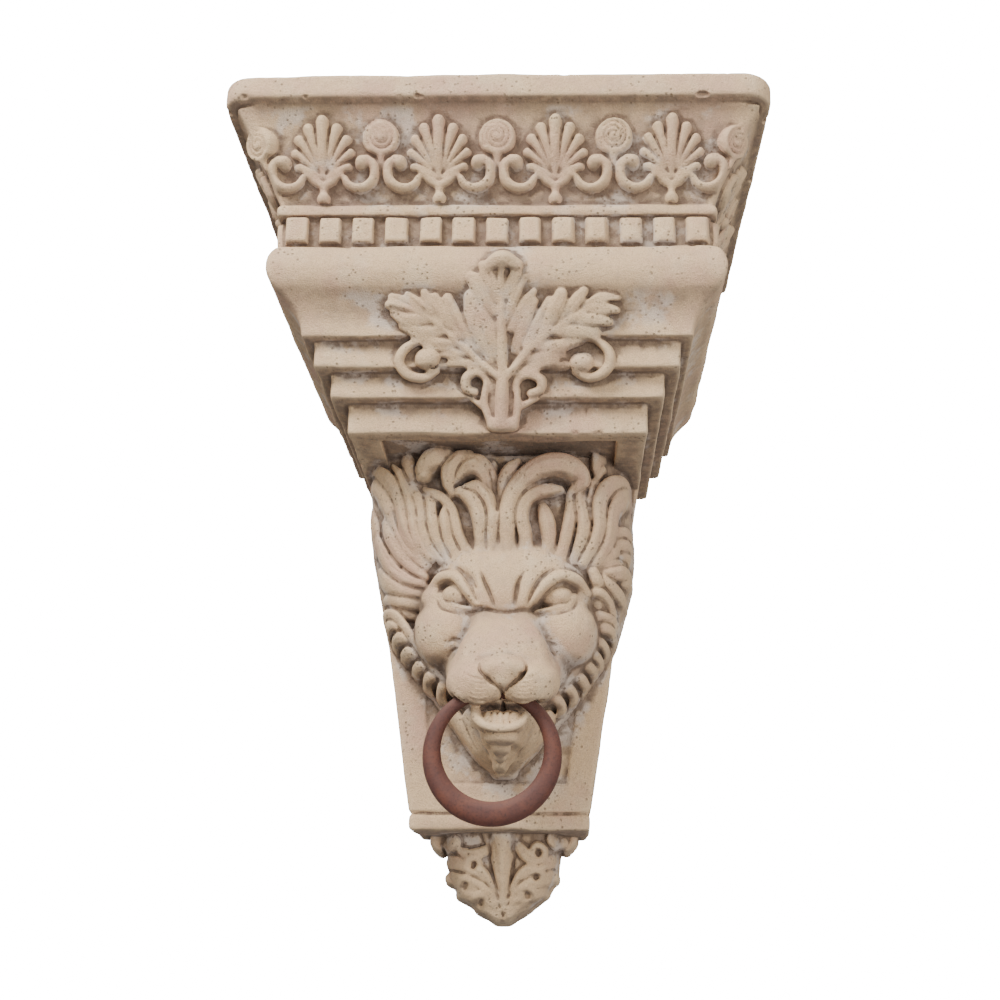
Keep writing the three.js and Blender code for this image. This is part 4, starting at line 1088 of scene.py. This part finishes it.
def nickArrises(field):
    # chips knocked out of the arrises, each a small long ball cut away
    rng = np.random.default_rng(wearing["nickSeed"])
    extra = stone["mitreExtra"]
    for half, z, count, size in wearing["arrises"]:
        for _ in range(count):
            along = rng.uniform(-1, 1)
            radius = size * rng.uniform(0.5, 1.2)
            side = rng.integers(0, 3)
            x0, d0 = ((half * along, half + extra) if side == 1 else
                      ((side - 1) * half, (half + extra) * (0.55 + 0.45 * along)))
            z0 = z + rng.uniform(-1, 1)
            stretch = rng.uniform(1.0, 2.2)
            where, (x, d, z1) = field.part((x0 - 3 * radius, d0 - 3 * radius, z0 - radius),
                                           (x0 + 3 * radius, d0 + 3 * radius, z0 + radius))
            run = ((x - x0), (d - d0)) if side == 1 else ((d - d0), (x - x0))
            off = np.sqrt((run[0] / stretch) ** 2 + run[1] ** 2 + (z1 - z0) ** 2)
            field.cut(where, off - radius * 0.8)


def fieldMesh(field, name):
    step = field.x[1] - field.x[0]
    limit = 3 * step
    values = np.clip(field.values, -limit, limit)
    grid = openvdb.FloatGrid(-limit)
    grid.copyFromArray(values, tolerance=0.01)
    points, triangles, quads = grid.convertToPolygons(isovalue=0.0, adaptivity=0.0)
    report(f"surface of {len(points)} points, {len(quads)} quads")
    corners = np.array([field.x[0], field.d[0], field.z[0]])
    points = points * step + corners
    points = np.column_stack([points[:, 0], -points[:, 1], points[:, 2] + topHeight]) / 1000
    faces = np.vstack([quads[:, [0, 1, 2]], quads[:, [0, 2, 3]], triangles.reshape(-1, 3)])
    mesh = bpy.data.meshes.new(name)
    mesh.vertices.add(len(points))
    mesh.vertices.foreach_set("co", points.astype(np.float32).ravel())
    mesh.loops.add(faces.size)
    mesh.loops.foreach_set("vertex_index", faces.astype(np.int32).ravel())
    mesh.polygons.add(len(faces))
    mesh.polygons.foreach_set("loop_start", np.arange(0, faces.size, 3, dtype=np.int32))
    mesh.update(calc_edges=True)
    mesh.validate()
    return mesh


def dropStrays(mesh):
    # keeps the one large shell of the casting and drops slits sealed inside it
    ends = np.zeros(2 * len(mesh.edges), np.int32)
    mesh.edges.foreach_get("vertices", ends)
    near, far = ends.reshape(-1, 2).T
    shell = np.arange(len(mesh.vertices))
    while (shell[near] != shell[far]).any():
        first, second = shell[near], shell[far]
        np.minimum.at(shell, first, second)
        np.minimum.at(shell, second, first)
        while (shell[shell] != shell).any():
            shell = shell[shell]
    strays = np.nonzero(shell != np.bincount(shell).argmax())[0]
    cleared = bmesh.new()
    cleared.from_mesh(mesh)
    cleared.verts.ensure_lookup_table()
    bmesh.ops.delete(cleared, geom=[cleared.verts[i] for i in strays], context="VERTS")
    cleared.to_mesh(mesh)
    cleared.free()


def markHollows(mesh, field):
    # stores how deep each point lies in a crevice and in a wider hollow, for the dirt and the painted
    # shade in them
    places = np.zeros(3 * len(mesh.vertices), np.float32)
    mesh.vertices.foreach_get("co", places)
    places = places.reshape(-1, 3) * (1000, -1000, 1000) - (0, 0, topHeight)
    step = field.x[1] - field.x[0]
    starts = np.array([field.x[0], field.d[0], field.z[0]])
    for name, size, every in (("crevice", 2.6, 2), ("shelter", 11.0, 6)):
        limit = 2.5 * size
        soft = blurred(np.clip(field.values[::every, ::every, ::every], -limit, limit),
                       size / (step * every), -limit)
        at = np.clip((places - starts) / (step * every), 0, np.array(soft.shape) - 1.001)
        low = at.astype(int)
        part = at - low
        depth = np.zeros(len(places))
        for corner in np.ndindex(2, 2, 2):
            weight = np.prod(np.where(corner, part, 1 - part), axis=1)
            depth += weight * soft[tuple((low + corner).T)]
        mark = mesh.attributes.new(name, "FLOAT", "POINT")
        mark.data.foreach_set("value", (depth / size).astype(np.float32))


def makeBracket():
    field = Field(stone["voxel"])
    addShelf(field)
    report("shelf")
    addBlock(field)
    addPendant(field)
    addLeaf(field)
    addCornerRosettes(field)
    addHead(field)
    report("carvings")
    weather(field)
    nickArrises(field)
    cutMouth(field)
    report("weathering")
    field.values = np.minimum(field.values, field.d[None, :, None].astype(np.float32))
    mesh = fieldMesh(field, "bracketStone")
    body = bpy.data.objects.new("bracketStone", mesh)
    bpy.context.scene.collection.objects.link(body)
    ratio = stone["triangles"] / len(mesh.polygons)
    if ratio < 1:
        thin = body.modifiers.new("thin", "DECIMATE")
        thin.ratio = ratio
        depsgraph = bpy.context.evaluated_depsgraph_get()
        body.data = bpy.data.meshes.new_from_object(body.evaluated_get(depsgraph))
        body.modifiers.clear()
    dropStrays(body.data)
    body.data.shade_smooth()
    markHollows(body.data, field)
    report(f"bracket of {len(body.data.polygons)} triangles")
    return body


def makeRing():
    around, sides = 160, 28
    turn = np.linspace(0, 2 * math.pi, around, endpoint=False)[:, None]
    spin = np.linspace(0, 2 * math.pi, sides, endpoint=False)[None, :]
    middle, stock = ringBar(turn)
    reach = middle + stock * np.cos(spin)
    x = reach * np.sin(turn) + ring["shift"]
    z = reach * np.cos(turn) + ringMiddle() + ring["pivotHeight"] + topHeight
    y = -ring["plane"] + (ring["thick"] * stock + ring["thickExtra"]) * np.sin(spin)
    points = np.stack([x, y + 0 * x, z], -1).reshape(-1, 3) / 1000
    faces = [(i * sides + j, i * sides + (j + 1) % sides,
              (i + 1) % around * sides + (j + 1) % sides, (i + 1) % around * sides + j)
             for i in range(around) for j in range(sides)]
    mesh = bpy.data.meshes.new("ironRing")
    mesh.from_pydata(points.tolist(), [], faces)
    mesh.shade_smooth()
    piece = bpy.data.objects.new("ironRing", mesh)
    bpy.context.scene.collection.objects.link(piece)
    return piece


# Finishes

def linear(hexColour):
    values = [int(hexColour[i:i + 2], 16) / 255 for i in (1, 3, 5)]
    return tuple(v / 12.92 if v <= 0.04045 else ((v + 0.055) / 1.055) ** 2.4 for v in values) + (1,)


def addNode(material, kind, settings=None, links=None):
    node = material.node_tree.nodes.new(kind)
    for key, value in (settings or {}).items():
        if key in node.inputs.keys() or isinstance(key, int):
            node.inputs[key].default_value = value
        else:
            setattr(node, key, value)
    for key, source in (links or {}).items():
        material.node_tree.links.new(source, node.inputs[key])
    return node


def paintLayers(material, patterns, base, layers, fading):
    # lays colours over a base. Each layer has one or two patterns with the values between
    # which they fade in and how weak and strong they get; two patterns are multiplied.
    colour = None
    for hexColour, *fades in layers:
        amount = None
        for pattern, low, high, least, most in fades:
            fade = addNode(material, "ShaderNodeMapRange",
                           {"From Min": low, "From Max": high, "To Min": least, "To Max": most,
                            "interpolation_type": fading}, {"Value": patterns[pattern]})
            fade = fade.outputs["Result"]
            amount = fade if amount is None else addNode(
                material, "ShaderNodeMath", {"operation": "MULTIPLY"}, {0: amount, 1: fade}).outputs[0]
        links = {0: amount} if colour is None else {0: amount, 6: colour}
        settings = {"data_type": "RGBA", 6: linear(base), 7: linear(hexColour)}
        colour = addNode(material, "ShaderNodeMix", settings, links).outputs[2]
    return colour, amount


def basePatterns(material, noises):
    # noise patterns by name, from their sizes in mm and detail, and how much a face looks up
    place = addNode(material, "ShaderNodeTexCoord").outputs["Object"]
    patterns = {"place": place}
    for name, (size, detail) in noises.items():
        settings = {"Scale": 1000 / size, "Detail": detail, "Roughness": 0.6}
        noise = addNode(material, "ShaderNodeTexNoise", settings, {"Vector": place})
        patterns[name] = noise.outputs["Fac"]
    normal = addNode(material, "ShaderNodeNewGeometry").outputs["Normal"]
    parts = addNode(material, "ShaderNodeSeparateXYZ", None, {"Vector": normal})
    patterns["facing"] = parts.outputs["Z"]
    return patterns


castStoneLook = {
    # mm and detail; the sand's real grit is about 0.5 mm, and is drawn coarser to show
    "noises": {"blotch": (85, 4), "stain": (32, 5), "grain": (1.1, 2), "mottle": (9, 5)},
    "pitSize": 5.0,         # mm from one pit to the next
    "base": "#d6b58c",
    "layers": [     # colour, then each pattern: from, to, least, most
        ("#cda589", ("blotch", 0.42, 0.7, 0, 1)),                   # pink patches
        ("#dfc8a4", ("stain", 0.45, 0.75, 0, 0.55)),                # pale patches
        ("#a98f78", ("mottle", 0.5, 0.72, 0, 0.4)),                 # grey blotches
        ("#8e755c", ("grain", 0.35, 0.75, 0, 0.42)),                # sand
        ("#84705f", ("shelter", 0.02, 0.4, 0, 0.7), ("mottle", 0.25, 0.6, 0.5, 1)),        # dirt and painted shade in the hollows
        ("#776556", ("facing", -0.6, -0.92, 0, 1), ("mottle", 0.3, 0.65, 0.6, 0.9)),       # painted shade on the undersides
        ("#dbcdc3", ("shelter", 0.02, 0.22, 0, 0.4), ("stain", 0.48, 0.6, 0, 1)),          # bloom
        ("#604d3f", ("crevice", 0.04, 0.26, 0, 0.85), ("mottle", 0.62, 0.4, 0.5, 1)),      # painted shade in the cuts
        ("#dcc19a", ("crevice", -0.12, -0.42, 0, 0.35)),            # rubbed arrises
        ("#6f5a48", ("pits", 0.3, 0.12, 0, 0.65), ("stain", 0.46, 0.58, 0, 1)),            # pits
    ],
    "roughness": (0.86, 0.97),
    "grainHeight": 0.7, "pitDepth": 0.77,       # beside the mottle's height
    "bumpStrength": 0.8, "bumpHeight": 0.0022,
}


def castStone():
    # Cast stone: sand and cement packed in a mould, so it is matt and sandy, and its skin
    # is blotched, pitted, brown with dirt and painted shade in its hollows, darkened with painted shade
    # in its cuts and on its undersides, and white with lime bloom.
    look = castStoneLook
    material = bpy.data.materials.new("castStone")
    material.use_nodes = True
    shader = material.node_tree.nodes["Principled BSDF"]
    patterns = basePatterns(material, look["noises"])
    pits = addNode(material, "ShaderNodeTexVoronoi", {"Scale": 1000 / look["pitSize"]},
                   {"Vector": patterns["place"]})
    patterns["pits"] = pits.outputs["Distance"]
    # the crevice and hollow depths lay painted shade into the colour, beside the dirt, the bloom and the
    # rubbed arrises
    for mark in ("crevice", "shelter"):
        stored = addNode(material, "ShaderNodeAttribute", {"attribute_name": mark})
        patterns[mark] = stored.outputs["Fac"]
    colour, pitted = paintLayers(material, patterns, look["base"], look["layers"], "SMOOTHSTEP")
    material.node_tree.links.new(colour, shader.inputs["Base Color"])
    smooth, rough = look["roughness"]
    roughness = addNode(material, "ShaderNodeMapRange",
                        {"From Min": 0.3, "From Max": 0.7, "To Min": smooth, "To Max": rough,
                         "interpolation_type": "SMOOTHSTEP"}, {"Value": patterns["grain"]})
    material.node_tree.links.new(roughness.outputs["Result"], shader.inputs["Roughness"])
    height = addNode(material, "ShaderNodeMath", {"operation": "MULTIPLY_ADD", 1: -look["pitDepth"]},
                     {0: pitted, 2: patterns["mottle"]}).outputs[0]
    height = addNode(material, "ShaderNodeMath",
                     {"operation": "MULTIPLY_ADD", "use_clamp": True, 1: look["grainHeight"]},
                     {0: patterns["grain"], 2: height}).outputs[0]
    bump = addNode(material, "ShaderNodeBump",
                   {"Strength": look["bumpStrength"], "Distance": look["bumpHeight"]},
                   {"Height": height})
    material.node_tree.links.new(bump.outputs["Normal"], shader.inputs["Normal"])
    return material


rustedIronLook = {
    "noises": {"patch": (13, 4), "grain": (2.2, 4)},        # mm and detail
    "base": "#4c281f",
    "layers": [     # colour, then the pattern: from, to, least, most
        ("#5f3424", ("patch", 0.4, 0.65, 0, 0.8)),
        ("#321a15", ("grain", 0.5, 0.75, 0, 0.7)),
        ("#957064", ("facing", 0.2, 1.0, 0, 0.35)),         # dust
    ],
    "roughness": 0.72,
    "bumpStrength": 0.5, "bumpHeight": 0.0006,
}


def rustedIron():
    # Rusted iron, bare and left outdoors: its skin is a brown matt rust, so it isn't
    # metallic to the eye, with darker and redder patches and dust on what faces up.
    look = rustedIronLook
    material = bpy.data.materials.new("rustedIron")
    material.use_nodes = True
    shader = material.node_tree.nodes["Principled BSDF"]
    patterns = basePatterns(material, look["noises"])
    colour, _ = paintLayers(material, patterns, look["base"], look["layers"], "LINEAR")
    material.node_tree.links.new(colour, shader.inputs["Base Color"])
    shader.inputs["Roughness"].default_value = look["roughness"]
    bump = addNode(material, "ShaderNodeBump",
                   {"Strength": look["bumpStrength"], "Distance": look["bumpHeight"]},
                   {"Height": patterns["grain"]})
    material.node_tree.links.new(bump.outputs["Normal"], shader.inputs["Normal"])
    return material


photoCamera = {
    "lens": 48.258, "sensor": 36, "shift": -0.035,
    "place": (0.05318, -1.31848, -0.37673),     # metres
    "yaw": 0.0191, "pitch": 0.3345, "roll": 0.0058,     # radians; it looks up at the bracket
}


def makeCamera():
    c = photoCamera
    data = bpy.data.cameras.new("photoCamera")
    data.lens, data.sensor_width, data.shift_x = c["lens"], c["sensor"], c["shift"]
    camera = bpy.data.objects.new("photoCamera", data)
    yaw, pitch, roll = c["yaw"], c["pitch"], c["roll"]
    forward = Vector((-math.sin(yaw) * math.cos(pitch), math.cos(yaw) * math.cos(pitch),
                      math.sin(pitch)))
    level = Vector((math.cos(yaw), math.sin(yaw), 0))
    above = level.cross(forward)
    right = math.cos(roll) * level + math.sin(roll) * above
    up = math.cos(roll) * above - math.sin(roll) * level
    turned = Matrix((right, up, -forward)).transposed().to_4x4()
    camera.matrix_world = Matrix.Translation(c["place"]) @ turned
    bpy.context.scene.collection.objects.link(camera)
    bpy.context.scene.camera = camera


studio = {
    "sky": 1.02, "ground": 0.4,     # strength of the soft light from above and from below
    "key": 84, "fill": 42,          # watts
    "lamps": [("key", (-1.0, -1.7, 1.5), 0.8), ("fill", (1.0, -2.3, -0.7), 1.6)],      # place, size
    "paper": 20.0,
    "domeRadius": 8, "floorSize": 12, "floorHeight": -1.2,      # metres
}


def makeStudio():
    # soft light from above, a lamp at the upper left and a weak one at the right, with
    # white paper all round that gives no light of its own
    scene = bpy.context.scene
    world = bpy.data.worlds.new("studio")
    world.use_nodes = True
    way = addNode(world, "ShaderNodeTexCoord").outputs["Generated"]
    up = addNode(world, "ShaderNodeSeparateXYZ", None, {"Vector": way}).outputs["Z"]
    level = addNode(world, "ShaderNodeMapRange",
                    {"From Min": -0.5, "From Max": 0.7,
                     "To Min": studio["ground"], "To Max": studio["sky"]},
                    {"Value": up}).outputs["Result"]
    background = world.node_tree.nodes["Background"]
    background.inputs["Color"].default_value = (1, 1, 1, 1)
    world.node_tree.links.new(level, background.inputs["Strength"])
    scene.world = world
    for name, place, size in studio["lamps"]:
        data = bpy.data.lights.new(name, "AREA")
        data.size, data.energy = size, studio[name]
        lamp = bpy.data.objects.new(name, data)
        lamp.location = place
        lamp.rotation_euler = (Vector((0, -0.1, 0)) - lamp.location).to_track_quat("-Z", "Y").to_euler()
        scene.collection.objects.link(lamp)
    bpy.ops.mesh.primitive_uv_sphere_add(segments=48, ring_count=24, radius=studio["domeRadius"])
    backdrop = bpy.context.object
    bpy.ops.mesh.primitive_plane_add(size=studio["floorSize"], location=(0, 0, studio["floorHeight"]))
    floor = bpy.context.object
    for piece, name in ((backdrop, "whitePaper"), (floor, "paperFloor")):
        paper = bpy.data.materials.new(name)
        paper.use_nodes = True
        glow = addNode(paper, "ShaderNodeEmission",
                       {"Color": linear("#ffffff"), "Strength": studio["paper"]})
        output = paper.node_tree.nodes["Material Output"]
        paper.node_tree.links.new(glow.outputs[0], output.inputs["Surface"])
        paper.cycles.emission_sampling = "NONE"
        piece.name = name
        piece.data.materials.append(paper)
        piece.visible_diffuse = False
        piece.visible_glossy = False
        piece.visible_shadow = False


bracket = makeBracket()
bracket.data.materials.append(castStone())
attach(bracket, "bracket")
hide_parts("bracket_body")

hangingRing = makeRing()
hangingRing.data.materials.append(rustedIron())
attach(hangingRing, "ring")
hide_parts("iron_ring")

makeStudio()
makeCamera()
report("scene")
